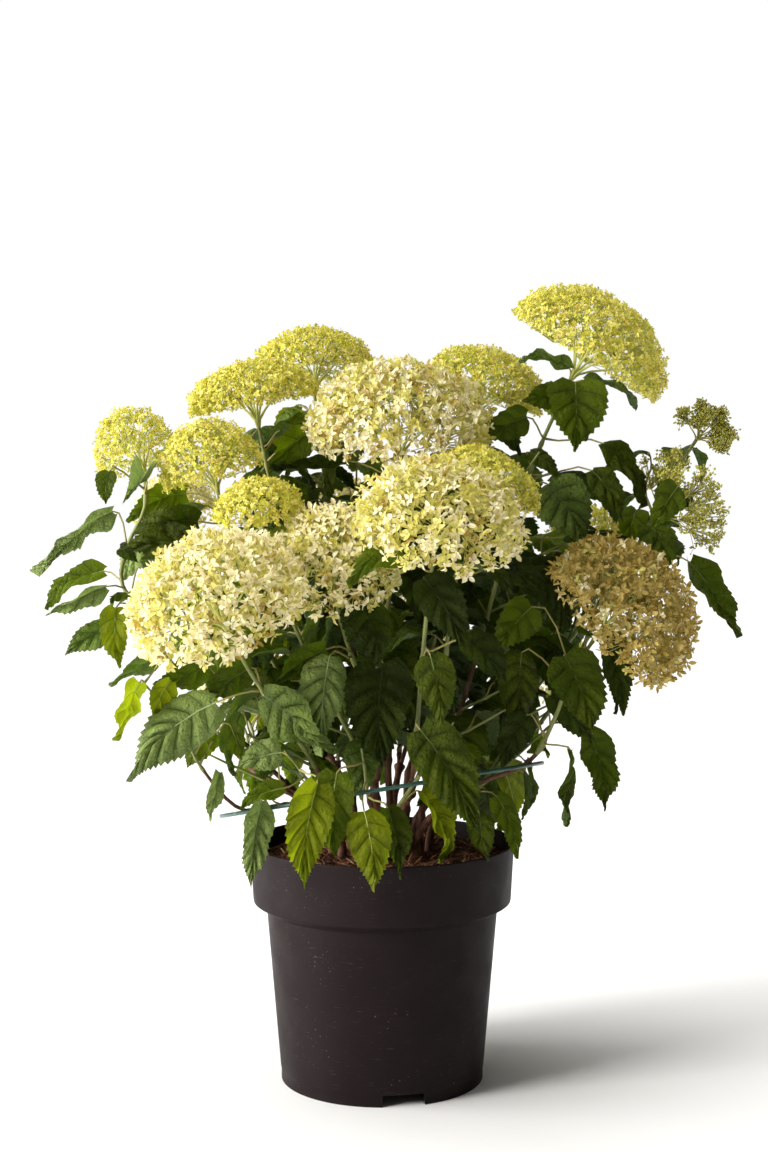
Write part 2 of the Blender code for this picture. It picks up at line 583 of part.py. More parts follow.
def stem_shape(points, phase=0):
    steps = len(points) - 1
    radii = [SHOOT_RADIUS + (HUB_RADIUS - SHOOT_RADIUS) * i / steps for i in range(steps + 1)]
    return tube(points, radii, SHOOT_SIDES, turn=math.radians(phase))


def twig_shape(points, phase=0, swell=0.0):
    radii = [radius + swell for radius in (TWIG_RADIUS, TWIG_RADIUS, TWIG_TIP_RADIUS)]
    return tube(points, radii, TWIG_SIDES, turn=math.radians(phase))


def head_frame(head):
    axis = head_axis(head)
    aside, other = across(axis)
    return Matrix((aside, other, axis)).transposed().to_4x4()


def dome_shape(head):
    """The bloom's core: a domed umbrella with a hollow underside, with florets standing out as bumps."""
    frame = Matrix.Translation(rim_centre(head)) @ head_frame(head)
    wide = head.radius * CORE_SHARE
    tall = wide * head.dome
    corners = [frame @ Vector((0, 0, tall))]
    rings = []
    for row, degrees in enumerate((*HEAD_RINGS, None)):
        rings.append(range(len(corners), len(corners) + HEAD_SEGMENTS))
        for segment in range(HEAD_SEGMENTS):
            angle = TURN * (segment + 0.5 * (row % 2)) / HEAD_SEGMENTS
            swell = 1 + BUMP * (1 if (segment + row) % 2 else -0.6)
            if degrees is None:
                out, height = 0.6 * wide, 0.12 * tall
            else:
                out = wide * math.sin(math.radians(degrees)) * swell
                height = tall * math.cos(math.radians(degrees)) * swell
            corners.append(frame @ Vector((out * math.cos(angle), out * math.sin(angle), height)))
    corners.append(frame @ Vector((0, 0, 0.40 * tall)))
    faces = []
    for segment in range(HEAD_SEGMENTS):
        after = (segment + 1) % HEAD_SEGMENTS
        faces.append((0, rings[0][segment], rings[0][after]))
        faces.append((len(corners) - 1, rings[-1][after], rings[-1][segment]))
        for row, (upper, lower) in enumerate(zip(rings, rings[1:])):
            near, far = (after, segment) if row % 2 else (segment, after)
            faces.append((upper[segment], lower[near], upper[after]))
            faces.append((upper[far], lower[segment], lower[after]))
    return corners, faces


def cluster_shapes(head):
    """A bloom that hasn't opened: small clusters of buds, each on its own ray."""
    frame = Matrix.Translation(rim_centre(head)) @ head_frame(head)
    begin = hub(head) - head_axis(head) * RAY_RADIUS
    shapes = []
    for index in range(BUD_CLUSTERS):
        angle = index * math.radians(137.5)
        slope = math.radians(95) * math.sqrt((index + 0.3) / BUD_CLUSTERS)
        out = 0.86 * head.radius * math.sin(slope)
        height = 0.86 * head.radius * head.dome * math.cos(slope)
        middle = frame @ Vector((out * math.cos(angle), out * math.sin(angle), height))
        size = head.radius * BUD_CLUSTER_SHARE
        ways = ((1, 0, 0), (0, 1, 0), (-1, 0, 0), (0, -1, 0), (0, 0, 1), (0, 0, -1))
        corners = [middle + Vector(way) * size for way in ways]
        faces = [(i, (i + 1) % 4, 4) for i in range(4)] + [((i + 1) % 4, i, 5) for i in range(4)]
        shapes.append((corners, faces))
        shapes.append(tube([begin, middle], [RAY_RADIUS, RAY_RADIUS * 0.7], RAY_SIDES))
    return shapes


def ray_shapes(head):
    """The rays that spread from the hub up into the dome."""
    frame = Matrix.Translation(rim_centre(head)) @ head_frame(head)
    begin = hub(head) - head_axis(head) * RAY_RADIUS
    rays = []
    for index in range(RAY_COUNT):
        angle = TURN * (index + 0.25) / RAY_COUNT
        out = 0.5 * head.radius
        end = frame @ Vector((out * math.cos(angle), out * math.sin(angle), 0.35 * head.radius * head.dome))
        rays.append(tube([begin, end], [RAY_RADIUS, RAY_RADIUS], RAY_SIDES))
    return rays


def bloom_shapes(head):
    if head.kind == "leafy":
        return []
    if head.kind == "bud":
        return cluster_shapes(head)
    return [*ray_shapes(head), dome_shape(head)]


# ---- Leaves ----

Blade = namedtuple("Blade", "root base heading length width dip curl roll fold")


def blade_frame(blade, along):
    """At that share of the midrib: the midrib's direction, the blade's direction aside, and its normal."""
    pitch = blade.dip + (blade.curl - blade.dip) * along
    way = blade.heading * math.cos(pitch) + UP * math.sin(pitch)
    level = blade.heading.cross(UP)
    normal = level.cross(way)
    aside = level * math.cos(blade.roll) + normal * math.sin(blade.roll)
    return way, aside, aside.cross(way)


def blade_point(blade, along, aside, lift=0.0):
    """A point of the arched blade: along its midrib from 0 to 1, aside and lifted off it in metres."""
    steps = 6
    point = blade.base.copy()
    for step in range(steps):
        point += blade_frame(blade, along * (step + 0.5) / steps)[0] * (blade.length * along / steps)
    way, side, normal = blade_frame(blade, along)
    rise = abs(aside) * math.sin(blade.fold) + lift
    return point + side * (aside * math.cos(blade.fold)) + normal * rise


def leaf_shape(blade, swell=0.0):
    """A leaf and its petiole as one closed solid, swollen for a clearance test."""
    half = blade.width / 2
    thick = blade.length * LEAF_THICKNESS / 2 + swell
    stalk = PETIOLE_RADIUS + swell
    stalk_way = (blade.base - blade.root).normalized()
    blade_way, side, normal = blade_frame(blade, 0)
    way = (stalk_way * 2 + blade_way).normalized()
    aside = (side - way * side.dot(way)).normalized()
    above = aside.cross(way)
    around = ((above * 0.5 - aside) * stalk, (above * 0.5 + aside) * stalk, -above * stalk)
    corners = [point + out for point in (blade.root, blade.base) for out in around]
    for along, share in LEAF_OUTLINE:
        corners.append(blade_point(blade, along, -(share * half + swell)))
    corners.append(blade_point(blade, 1 + swell / blade.length, 0))
    for along, share in reversed(LEAF_OUTLINE):
        corners.append(blade_point(blade, along, share * half + swell))
    outline = [3, *range(6, len(corners)), 4]
    above, under = len(corners), len(corners) + 1
    corners.append(blade_point(blade, LEAF_MIDDLE, 0, thick))
    corners.append(blade_point(blade, LEAF_MIDDLE, 0, -thick))
    faces = [(0, 1, 2), (0, 3, 4, 1), (1, 4, 5, 2), (2, 5, 3, 0)]
    for first, second in zip(outline, outline[1:]):
        faces += [(first, second, above), (second, first, under)]
    faces += [(4, 3, above), (3, 5, under), (5, 4, under)]
    return corners, faces


def tree_of(shape):
    return BVHTree.FromPolygons([tuple(c) for c in shape[0]], shape[1])


def bounds_of(shape):
    return [(min(c[i] for c in shape[0]), max(c[i] for c in shape[0])) for i in range(3)]


class Obstacles:
    """What is there already: each entry says whose it is, and whether it is that shoot's stem."""

    def __init__(self):
        self.entries = []

    def add(self, shape, owner, is_stem=False):
        self.entries.append((bounds_of(shape), tree_of(shape), owner, is_stem))

    def hit(self, shape, skip_stem_of=None):
        """Whether the shape meets anything, apart from the stem that it grows on."""
        box = bounds_of(shape)
        tree = None
        for other_box, other_tree, owner, is_stem in self.entries:
            if is_stem and owner == skip_stem_of:
                continue
            if any(a[1] < b[0] or b[1] < a[0] for a, b in zip(box, other_box)):
                continue
            tree = tree or tree_of(shape)
            if tree.overlap(other_tree):
                return True
        return False


def along_path(points, distance, turn=0.0):
    """The point that far along the path, the path's direction there, and two vectors square to it."""
    frames = carried(points, turn)
    for index, (before, after) in enumerate(zip(points, points[1:])):
        step = (after - before).length
        if distance <= step or index == len(points) - 2:
            way = (after - before).normalized()
            aside = frames[index][1].lerp(frames[index + 1][1], min(1, distance / step))
            aside = (aside - way * aside.dot(way)).normalized()
            return before.lerp(after, min(1, distance / step)), way, aside, way.cross(aside)
        distance -= step


def path_length(points):
    return sum((b - a).length for a, b in zip(points, points[1:]))


def blade_at(shoot, place, turn, size, attempt, rng, stem_radius):
    """One leaf on the stem, in the direction turn about it. Each attempt strays further from the rule."""
    point, way, aside, other = place
    stray = 0.06 * attempt
    turn += rng.uniform(-stray, stray)
    out = aside * math.cos(turn) + other * math.sin(turn)
    petiole = rng.uniform(0.022, 0.042) * size
    rise = (out * math.sin(PETIOLE_LEAN) + way * math.cos(PETIOLE_LEAN)).normalized()
    base = point + rise * petiole
    outward = Vector((point.x, point.y, 0)).normalized()
    heading = (Vector((rise.x, rise.y, 0)).normalized() + outward * 0.35).normalized()
    length = LEAF_LENGTH * size * shoot.leaf * rng.uniform(0.88, 1.1) * (1 - 0.03 * attempt)
    dip = rng.uniform(-4, -36) * shoot.droop + rng.uniform(-4, 4) * attempt
    curl = max(dip - rng.uniform(20, 50) * shoot.droop, -98)
    return Blade(
        point + out * stem_radius * 0.45,
        base,
        heading,
        length,
        length * LEAF_WIDTH * rng.uniform(0.92, 1.05),
        math.radians(dip),
        math.radians(curl),
        math.radians(rng.uniform(-22, 22)),
        math.radians(rng.uniform(2, 20)),
    )


def set_blade(leaf, path, shift, stray):
    """A leaf that is set by the ends of its blade. Its petiole runs down to the nearest point of its stem."""
    base, tip = Vector(leaf.base) + shift, Vector(leaf.tip) + shift
    chord = tip - base
    flat = Vector((chord.x, chord.y, 0))
    pitch = math.atan2(chord.z, flat.length)
    half = math.radians(leaf.bend) / 2
    level = flat.normalized().cross(UP)
    normal = level.cross(chord.normalized())
    facing = math.atan2(level.y, -normal.y)
    total = path_length(path)
    places = [along_path(path, total * step / 60) for step in range(60)]
    point, way = min(places, key=lambda p: (base - p[0]).length - 0.35 * (base - p[0]).dot(p[1]))[:2]
    out = (base - point).normalized()
    return Blade(
        point + out * SHOOT_RADIUS * 0.3,
        base,
        flat.normalized(),
        chord.length * half / math.sin(half),
        leaf.width,
        pitch + half,
        pitch - half,
        facing + math.radians(leaf.turn + stray),
        math.radians(10),
    )


def set_leaf(leaf, shoot, path, obstacles):
    """The set leaf, moved back or forward and turned by the least that clears everything, or None."""
    for shift in (0, -6, 6, -12, 12, -18, 18, -24, 24, -32, 32):
        for stray in (0, 12, -12, 24, -24):
            blade = set_blade(leaf, path, Vector((0, shift / 1000, 0)), stray)
            if (blade.base - blade.root).length > 0.008 and fits(blade, shoot, obstacles):
                return blade
    return None


def crown_reach(height):
    """How far from the axis leaves may reach at that height."""
    for (low, near), (high, far) in zip(CROWN_REACH, CROWN_REACH[1:]):
        if height < high:
            return near + (far - near) * max(0, height - low) / (high - low)
    return CROWN_REACH[-1][1]


def in_crown(points):
    if any(p.y < FRONT_REACH and p.z < FRONT_TOP for p in points):
        return False
    return all(p.z > LOWEST_LEAF and math.hypot(p.x, p.y) < crown_reach(p.z) for p in points)


def fits(blade, shoot, obstacles):
    swollen = leaf_shape(blade, CLEARANCE)
    if obstacles.hit(swollen, skip_stem_of=shoot.name):
        return False
    # The blade itself, without its petiole, also has to clear the stem that it grows on.
    petiole_way = (blade.base - blade.root).normalized()
    free = blade._replace(root=blade.base - petiole_way * 0.004)
    return not obstacles.hit(leaf_shape(free, CLEARANCE))


def twigs_of(shoot, points, obstacles):
    """Side twigs from the lower part of the stem."""
    length = path_length(points)
    count = int((length - TWIG_FIRST) / TWIG_SPACING)
    twigs = []
    for index in range(count):
        rng = random.Random(f"{shoot.name} twig {index}")
        distance = TWIG_FIRST + TWIG_SPACING * index
        point, way, aside, other = along_path(points, distance, math.radians(shoot.phase))
        for attempt in range(TWIG_TRIES):
            turn = TURN / 4 * (index + attempt) + rng.uniform(-0.1, 0.1)
            out = aside * math.cos(turn) + other * math.sin(turn)
            reach = rng.uniform(*TWIG_LENGTH)
            leave = (out + way * 0.75).normalized()
            outward = Vector((point.x, point.y, 0)).normalized()
            end = point + (leave + outward * 0.5 + UP * 0.25).normalized() * reach
            root = point + out * SHOOT_RADIUS * 0.3
            path = bezier(root, leave, end, (UP * 0.6 + outward + leave * 0.5).normalized(), 2)
            room = twig_shape(path, swell=CLEARANCE)
            if in_crown(path) and not obstacles.hit(room, skip_stem_of=shoot.name):
                twigs.append(path)
                obstacles.add(twig_shape(path, shoot.phase), shoot.name, is_stem=True)
                break
    return twigs


def grow_pair(shoot, path, radius, distance, pair, size, label, obstacles):
    """An opposite pair of leaves, each square to the pair before it."""
    place = along_path(path, distance, math.radians(shoot.phase))
    grown = []
    for side in range(2):
        rng = random.Random(f"{shoot.name} {label} {pair} {side}")
        turn = TURN / 4 * pair + TURN / 2 * side
        for attempt in range(LEAF_TRIES):
            blade = blade_at(shoot, place, turn, size, attempt, rng, radius)
            if in_crown(leaf_shape(blade)[0]) and fits(blade, shoot, obstacles):
                grown.append(blade)
                obstacles.add(leaf_shape(blade), shoot.name)
                break
    return grown


def leaf_rounds(shoot, points, twigs):
    """Where the pairs stand, the upper and outer ones first: (path, radius, distance, pair, size, label)."""
    length = path_length(points)
    last = LAST_PAIR if shoot.head.kind != "leafy" else 0.004
    pairs = max(1, int((length - FIRST_PAIR - last) / PAIR_SPACING) + 1)
    spacing = (length - FIRST_PAIR - last) / max(1, pairs - 1)
    places = []
    for pair in range(pairs):
        size = 1.0 - 0.30 * (pair / max(1, pairs - 1)) ** 2
        places.append((points, SHOOT_RADIUS, FIRST_PAIR + spacing * pair, pair, size, "stem"))
    places.reverse()
    for index, twig in enumerate(twigs):
        twig_length = path_length(twig)
        places.append((twig, TWIG_RADIUS, twig_length - 0.003, 1, 0.75, f"twig {index}"))
        places.append((twig, TWIG_RADIUS, twig_length * 0.5, 0, 0.85, f"twig {index}"))
    return places


def grow():
    """Every stem, twig and leaf: {shoot name: (stem points, twigs, leaves)}."""
    obstacles = Obstacles()
    obstacles.add(turned(pot_profile(), POT_SEGMENTS), "pot")
    obstacles.add(mulch_shape(), "mulch")
    obstacles.add(hoop_shape(), "hoop")
    for cane in CANES:
        obstacles.add(cane_shape(cane), cane.name)
    stems = {shoot.name: stem_points(shoot) for shoot in SHOOTS}
    for shoot in SHOOTS:
        obstacles.add(stem_shape(stems[shoot.name], shoot.phase), shoot.name, is_stem=True)
        for shape in bloom_shapes(shoot.head):
            obstacles.add(shape, shoot.name)
    leaves = {shoot.name: [] for shoot in SHOOTS}
    for leaf in SET_LEAVES:
        shoot = next(s for s in SHOOTS if s.name == leaf.shoot)
        blade = set_leaf(leaf, shoot, stems[shoot.name], obstacles)
        if blade:
            leaves[shoot.name].append(blade)
            obstacles.add(leaf_shape(blade), shoot.name)
    twigs = {shoot.name: twigs_of(shoot, stems[shoot.name], obstacles) for shoot in SHOOTS}
    places = {shoot.name: leaf_rounds(shoot, stems[shoot.name], twigs[shoot.name]) for shoot in SHOOTS}
    for turn in range(max(len(p) for p in places.values())):
        for shoot in SHOOTS:
            if turn < len(places[shoot.name]):
                leaves[shoot.name] += grow_pair(shoot, *places[shoot.name][turn], obstacles)
    return {s.name: (stems[s.name], twigs[s.name], leaves[s.name]) for s in SHOOTS}


def build_shoot(shoot, points, twigs, leaves, finish):
    """The shoot's stem with its twigs, leaves, rays and bloom joined on."""
    thing = new_object("shoot_" + shoot.name, stem_shape(points, shoot.phase), finish)
    group = bpy.data.collections.new("joined_on")
    bpy.context.scene.collection.children.link(group)
    twig_shapes = [twig_shape(twig, shoot.phase) for twig in twigs]
    for shape in [*twig_shapes, *map(leaf_shape, leaves), *bloom_shapes(shoot.head)]:
        piece = new_object("piece", shape, finish)
        bpy.context.scene.collection.objects.unlink(piece)
        group.objects.link(piece)
    boolean(thing, "UNION", "MANIFOLD", collection=group)
    return thing


def main():
    for thing in list(bpy.data.objects):
        bpy.data.objects.remove(thing)
    build_pot()
    new_object("mulch", mulch_shape(), material("bark_mulch", (0.10, 0.035, 0.016), 0.95))
    new_object("support_hoop", hoop_shape(), material("hoop_green", (0.03, 0.13, 0.09), 0.45))
    bark = material("cane_bark", (0.14, 0.065, 0.035), 0.8)
    for cane in CANES:
        new_object("cane_" + cane.name, cane_shape(cane), bark)
    finishes = {kind: material(kind + "_shoot", colour, 0.7) for kind, colour in SHOOT_COLOURS.items()}
    grown = grow()
    for shoot in SHOOTS:
        build_shoot(shoot, *grown[shoot.name], finishes[shoot.head.kind])


main()
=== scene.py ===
"""The looks of the potted smooth hydrangea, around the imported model.

The canes, stems, twigs and leaves grow by the same seeded rule as the solids, and then on to finer twigs
and leaves within the same reach. Each solid mass is replaced by its stems, twigs, leaves and florets.
Metres, +Z up, -Y is the front.
"""

import json
import math
import random
from collections import namedtuple

import bmesh
import bpy
import numpy as np
from mathutils import Matrix, Vector, noise
from mathutils.bvhtree import BVHTree

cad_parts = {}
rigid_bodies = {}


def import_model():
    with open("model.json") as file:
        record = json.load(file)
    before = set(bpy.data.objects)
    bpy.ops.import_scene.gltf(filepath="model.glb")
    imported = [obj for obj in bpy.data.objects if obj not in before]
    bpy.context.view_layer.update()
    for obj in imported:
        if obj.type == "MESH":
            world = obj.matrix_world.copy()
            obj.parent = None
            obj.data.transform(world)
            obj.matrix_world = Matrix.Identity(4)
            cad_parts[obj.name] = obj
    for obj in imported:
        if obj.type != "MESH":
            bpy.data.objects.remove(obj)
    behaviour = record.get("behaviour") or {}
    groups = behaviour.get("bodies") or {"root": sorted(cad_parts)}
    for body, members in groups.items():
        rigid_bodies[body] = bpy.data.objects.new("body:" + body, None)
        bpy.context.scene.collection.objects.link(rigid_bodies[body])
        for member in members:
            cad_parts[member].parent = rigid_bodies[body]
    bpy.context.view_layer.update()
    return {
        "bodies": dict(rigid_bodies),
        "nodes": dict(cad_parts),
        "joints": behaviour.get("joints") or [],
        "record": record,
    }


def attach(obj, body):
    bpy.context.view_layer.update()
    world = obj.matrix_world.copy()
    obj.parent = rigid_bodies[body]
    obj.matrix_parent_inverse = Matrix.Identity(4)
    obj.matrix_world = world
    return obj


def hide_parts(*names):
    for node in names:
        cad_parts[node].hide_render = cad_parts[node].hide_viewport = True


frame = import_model()

UP = Vector((0, 0, 1))
GAP = 0.0003  # between pieces that touch
TURN = math.tau

# ---- Pot and mulch ----
POT_HEIGHT = 0.253
RIM_RADIUS = 0.140
WALL = 0.002
BAND_FOOT = 0.190  # lower edge of the band under the rim
BAND_FOOT_RADIUS = 0.1365
BODY_TOP = 0.184
BODY_TOP_RADIUS = 0.1225
BODY_FOOT_RADIUS = 0.108
SKIRT_HEIGHT = 0.013  # the pot stands on a thin skirt and on a round pad in the middle of its floor
SKIRT_STEP = 0.0007
PAD_RADIUS = 0.045
POT_SEGMENTS = 32
NOTCH_WIDTH = 0.045
NOTCH_COUNT = 3
NOTCH_FIRST = math.radians(-78)
MULCH_EDGE = 0.235
MULCH_TOP = 0.240
MULCH_FLAT_RADIUS = 0.070

# ---- Support hoop ----
HOOP_RADIUS = 0.172
HOOP_WIRE = 0.0021
HOOP_CENTRE = Vector((0.0, 0.0, 0.307))
HOOP_ROLL = math.radians(-9.5)  # its right side is the higher
HOOP_PITCH = math.radians(-9.5)  # its front is the higher
HOOP_SEGMENTS = 36
HOOP_SIDES = 5

# ---- Canes ----
FOOT_REACH = 0.052
FOOT_RADIUS = 0.0042
FORK_RADIUS = 0.0034
FLARE = 1.35  # a cane's foot beside the cane just above it
FLARE_HEIGHT = 0.012
KNUCKLE_RADIUS = 0.0062  # the swelling at a fork, which both of its shoots start from
KNUCKLE_HEIGHT = 0.010
CANE_SIDES = 5
CANE_STEPS = 3

# ---- Shoots ----
SHOOT_RADIUS = 0.0026
HUB_RADIUS = 0.0019  # where the stem meets the rays
SHOOT_SIDES = 4
SHOOT_STEPS = 5
FIRST_PAIR = 0.030
PAIR_SPACING = 0.085
LAST_PAIR = 0.026  # below the hub
TWIG_RADIUS = 0.0019
TWIG_TIP_RADIUS = 0.0015
TWIG_SIDES = 4
TWIG_LENGTH = (0.060, 0.110)
TWIG_FIRST = 0.050
TWIG_SPACING = 0.150
TWIG_TRIES = 10

# ---- Leaves ----
PETIOLE_RADIUS = 0.0010
PETIOLE_LEAN = math.radians(55)  # from the stem
LEAF_LENGTH = 0.120
LEAF_WIDTH = 0.66  # of its length
LEAF_THICKNESS = 0.013  # of its length
LEAF_OUTLINE = ((0.14, 0.80), (0.50, 1.0))  # along the midrib, share of the half width
LEAF_MIDDLE = 0.42
LEAF_TRIES = 16
PETIOLE_LENGTH = (0.022, 0.042)
LEAF_DIP = (-4, -36)  # degrees from level at the blade's foot
LEAF_CURL = (20, 50)  # degrees that it bends down to its tip
STEEPEST = -98
LEAF_ROLL = (-22, 22)
LEAF_FOLD = (2, 20)
SET_SHIFTS = (0, -6, 6, -12, 12, -18, 18, -24, 24, -32, 32)  # millimetres back or forward
SET_TURNS = (0, 12, -12, 24, -24)
SHORTEST_PETIOLE = 0.008
CLEARANCE = 0.0006
LOWEST_LEAF = 0.205
# How far from the axis seeded leaves may reach at each height.
CROWN_REACH = ((0.20, 0.150), (0.30, 0.165), (0.36, 0.190), (0.45, 0.255), (0.53, 0.325), (0.62, 0.350))
FRONT_REACH = -0.125  # below the flower heads seeded leaves stay behind this
FRONT_TOP = 0.52

# ---- Flower heads ----
HEAD_RINGS = (28, 55, 80, 103)  # degrees from the crown of the dome
HEAD_SEGMENTS = 10
HEAD_MIDDLE = 0.40  # of the dome's height, from the rim's plane to the middle of the bloom
BUMP = 0.06  # how far florets stand out of the core, as a share of its radius
CORE_SHARE = 0.94
HUB_DROP = 0.36  # of the head's radius, below the rim's plane
RAY_COUNT = 3
RAY_RADIUS = 0.0014
RAY_SIDES = 3
BUD_CLUSTERS = 9
BUD_CLUSTER_SHARE = 0.30  # a cluster's radius as a share of the head's
BUD_TURN = math.radians(137.5)  # from each cluster to the next
BUD_SPREAD = math.radians(95)  # from the axis to the outermost
BUD_REACH = 0.86  # of the head's radius

# ---- Leaves in the looks ----
LEAF_MARGIN = (
    (-0.06, 0.36),
    (0.00, 0.60),
    (0.04, 0.74),
    (0.10, 0.89),
    (0.18, 0.98),
    (0.28, 1.00),
    (0.40, 0.96),
    (0.52, 0.87),
    (0.63, 0.73),
    (0.73, 0.54),
    (0.81, 0.36),
    (0.88, 0.21),
    (0.94, 0.10),
    (1.01, 0.012),
)
LEAF_COLUMNS = np.array((0.0, 0.28, 0.55, 0.80, 1.0))  # from the midrib out to the margin
LEAF_SWEEP = 2.25  # how far side veins lean towards the tip
LOBE = 0.045  # how far the base reaches back beside the petiole
QUILT = 0.0360  # height of the swellings between side veins, as a share of the length
QUILT_STEPS = np.array((-1.0, -0.80, 0.50, 1.0, 0.50, -0.80))  # at the rows of VEIN_ROWS
QUILT_SPREAD = ((0.0, 0.28, 0.80, 1.0), (0.1, 1.0, 0.90, 0.35))  # from the midrib out
RUFFLE = 0.046  # height of the waves along the margin
CRUMPLE = 0.020  # height of the uneven waves across the blade
CRUMPLE_WAVES = (1.0, 1.8)
ARCH = (0.0, 0.15)  # how far the margins hang
HOOK = (-0.1, 0.7)  # how far the tip does
FOLD = (-0.05, 0.40)  # how far the halves close
OUTER_FOLD = 0.45  # more, on the leaves furthest to the left
OUTER_EDGE = -0.24
TWIST = 0.42
TOOTH = 0.090
TOOTH_TURNS = (-0.45, 0.55)  # a hollow, then a tooth
RIB_RADII = (0.00080, 0.00070, 0.00052, 0.00036, 0.0002)  # of the midrib, from the blade's foot to its tip
RIB_SIDES = 5
PETIOLE_STEPS = 4
BLADE_FINISH, PETIOLE_FINISH, RIB_FINISH, VEIN_SHADE_FINISH = range(4)  # the finishes of a leaf's piece
VEIN_SPACING = 0.0130
VEIN_ROWS = (0.0, 0.035, 0.24, 0.5, 0.76, 0.965)  # rows of corners from one side vein to the next
VEIN_CROWDING = 1.10
VEIN_BEND = 1.25  # above 1, side veins curve towards the tip as they go out
RIB_STOPS = (0.2, 0.45, 0.7, 0.92)  # shares of the blade's rows that the midrib is drawn through

# ---- Finer growth ----
FINE_TWIG_FIRST = 0.045
FINE_TWIG_SPACING = 0.055
FINE_SIZES = (0.80, 0.66)  # of the leaves of each pair on a finer twig
FINE_TWIG_LENGTH = (0.035, 0.085)
FINE_TWIG_PLACES = (0.97, 0.45)  # where the pairs of leaves stand on a finer twig
FINE_STEM_SPACING = 0.040
FINE_STEM_SIZE = 0.62
OPEN_BELOW = 0.55  # the front stays open up to this height
OPEN_OUTER = 0.15  # and at any height further out than this
OPEN_FRONT = -0.07  # how far back the opening reaches
OPEN_OUTER_FRONT = 0.04
NEAR = 0.005  # a leaf this close to a twig is on it

# ---- Stems in the looks ----
LEAFY_TIP_RADIUS = 0.0008
STEM_SIDES = 9
FINE_TWIG_SIDES = 6
STEM_STEP = 0.012
NODE_SWELL = 0.42  # of the radius, at each pair of leaves
NODE_LENGTH = 0.0035
NODE_SWELL_LIMIT = 0.55
BROWN_SHARE = 0.24  # of a stem's length, from its foot
WOODY_BROWN_SHARE = 0.42
WOODY_CANES = ("middle", "front_low", "back_left_low")

# ---- Colours of the leaves ----
# The tones run from deep to pale partly as painted light: the pale and blue ones are brighter greens that
# stand for lit and glossy leaves, and the deep one partly for painted shade.
LEAF_TONES = ("deep", "blue", "pale", "mid", "fresh", "lime")
LEAF_COLOURS = {  # darker and lighter above, below, light from behind, side veins (darker than the blade, as painted shade in their grooves), midrib, roughness
    "deep": ((0.020, 0.032, 0.002), (0.046, 0.068, 0.005), (0.08, 0.11, 0.04), (0.14, 0.24, 0.01),
             (0.016, 0.027, 0.002), (0.034, 0.052, 0.012), 0.50),
    "blue": ((0.125, 0.192, 0.022), (0.228, 0.325, 0.052), (0.13, 0.18, 0.08), (0.18, 0.34, 0.03),
             (0.070, 0.112, 0.018), (0.060, 0.095, 0.028), 0.42),
    "pale": ((0.260, 0.360, 0.080), (0.395, 0.515, 0.150), (0.26, 0.33, 0.15), (0.36, 0.52, 0.12),
             (0.125, 0.185, 0.050), (0.26, 0.34, 0.14), 0.46),
    "mid": ((0.050, 0.071, 0.002), (0.100, 0.130, 0.005), (0.10, 0.14, 0.05), (0.22, 0.38, 0.01),
            (0.032, 0.052, 0.002), (0.075, 0.110, 0.016), 0.50),
    "fresh": ((0.072, 0.108, 0.003), (0.125, 0.170, 0.006), (0.17, 0.22, 0.06), (0.34, 0.52, 0.01),
              (0.050, 0.078, 0.003), (0.20, 0.26, 0.05), 0.50),
    "lime": ((0.165, 0.205, 0.004), (0.270, 0.310, 0.010), (0.25, 0.30, 0.05), (0.52, 0.66, 0.01),
             (0.115, 0.150, 0.004), (0.32, 0.38, 0.08), 0.52),
}
LEAF_GLOSS = {"blue": 0.24, "pale": 0.24}
GLOW_SHARE = {"fresh": 0.28, "lime": 0.32}
# Each set leaf's tone follows how bright that leaf shows, so it is partly painted light and shade: pale or
# blue where light and sheen fall, deep where it is shaded.
SET_TONES = {  # of the leaves that show most, in the order that they are set
    "lime_top_right": "fmbbmmbmmd",
    "bud_far_right": "fmd",
    "cream_right": "dmmmdf",
    "leafy_right": "dmfm",
    "lime_middle_right": "d",
    "cream_front_right": "dmdm",
    "cream_front": "ddpm",
    "cream_front_left": "bpm",
    "leafy_front_left": "lpf",
    "leafy_front": "flm",
    "leafy_left": "bllmffpp",
    "lime_far_left": "pfpblmd",
    "lime_left": "fmm",
    "lime_upper_left": "f",
    "cream_top": "d",
}
# Paler and fresher tones to the left, where the light comes from, and deeper ones to the right: partly
# painted light and shade.
TONES_BY_SIDE = (  # left of that place, how often each tone comes
    (-0.21, (1, 2, 4, 3, 5, 2)),
    (-0.05, (5, 3, 0, 5, 2, 1)),
    (0.08, (6, 2, 0, 5, 1, 0)),
    (math.inf, (8, 1, 0, 5, 1, 0)),
)
LOW_TONES = (0, 0, 0, 1, 3, 1)  # more of these low down
LOW_LEAVES = 0.36

# ---- Florets ----
SEPAL = {  # half width at those shares of the length
    "cream": ((0.40, 0.27), (0.74, 0.20)),
    "lime": ((0.50, 0.36),),
}
SEPAL_CUP = 0.06  # how far a sepal's margins stand above its flat, and its middle below
FLORET_BUD = (0.17, 0.26)  # radius and height of the bud in the middle
FLORET_SHAPES = 12
GOLDEN_TURN = 2.39996  # radians, which spreads places evenly round a dome
# The heads that differ from the others in how many florets are tan or pale, and in how many there are.
# cream_right's tan share is partly real browning and partly painted shade, as that head sits away from the
# light.
TAN_SHARE = {"cream_right": 0.90, "cream_low_back": 0.25, "cream_top": 0.10}
PALE_SHARE = {"cream_front_right": 0.45, "cream_top": 0.62}
FULLER = {"cream_right": 1.25, "cream_front": 1.35, "cream_front_left": 1.15}
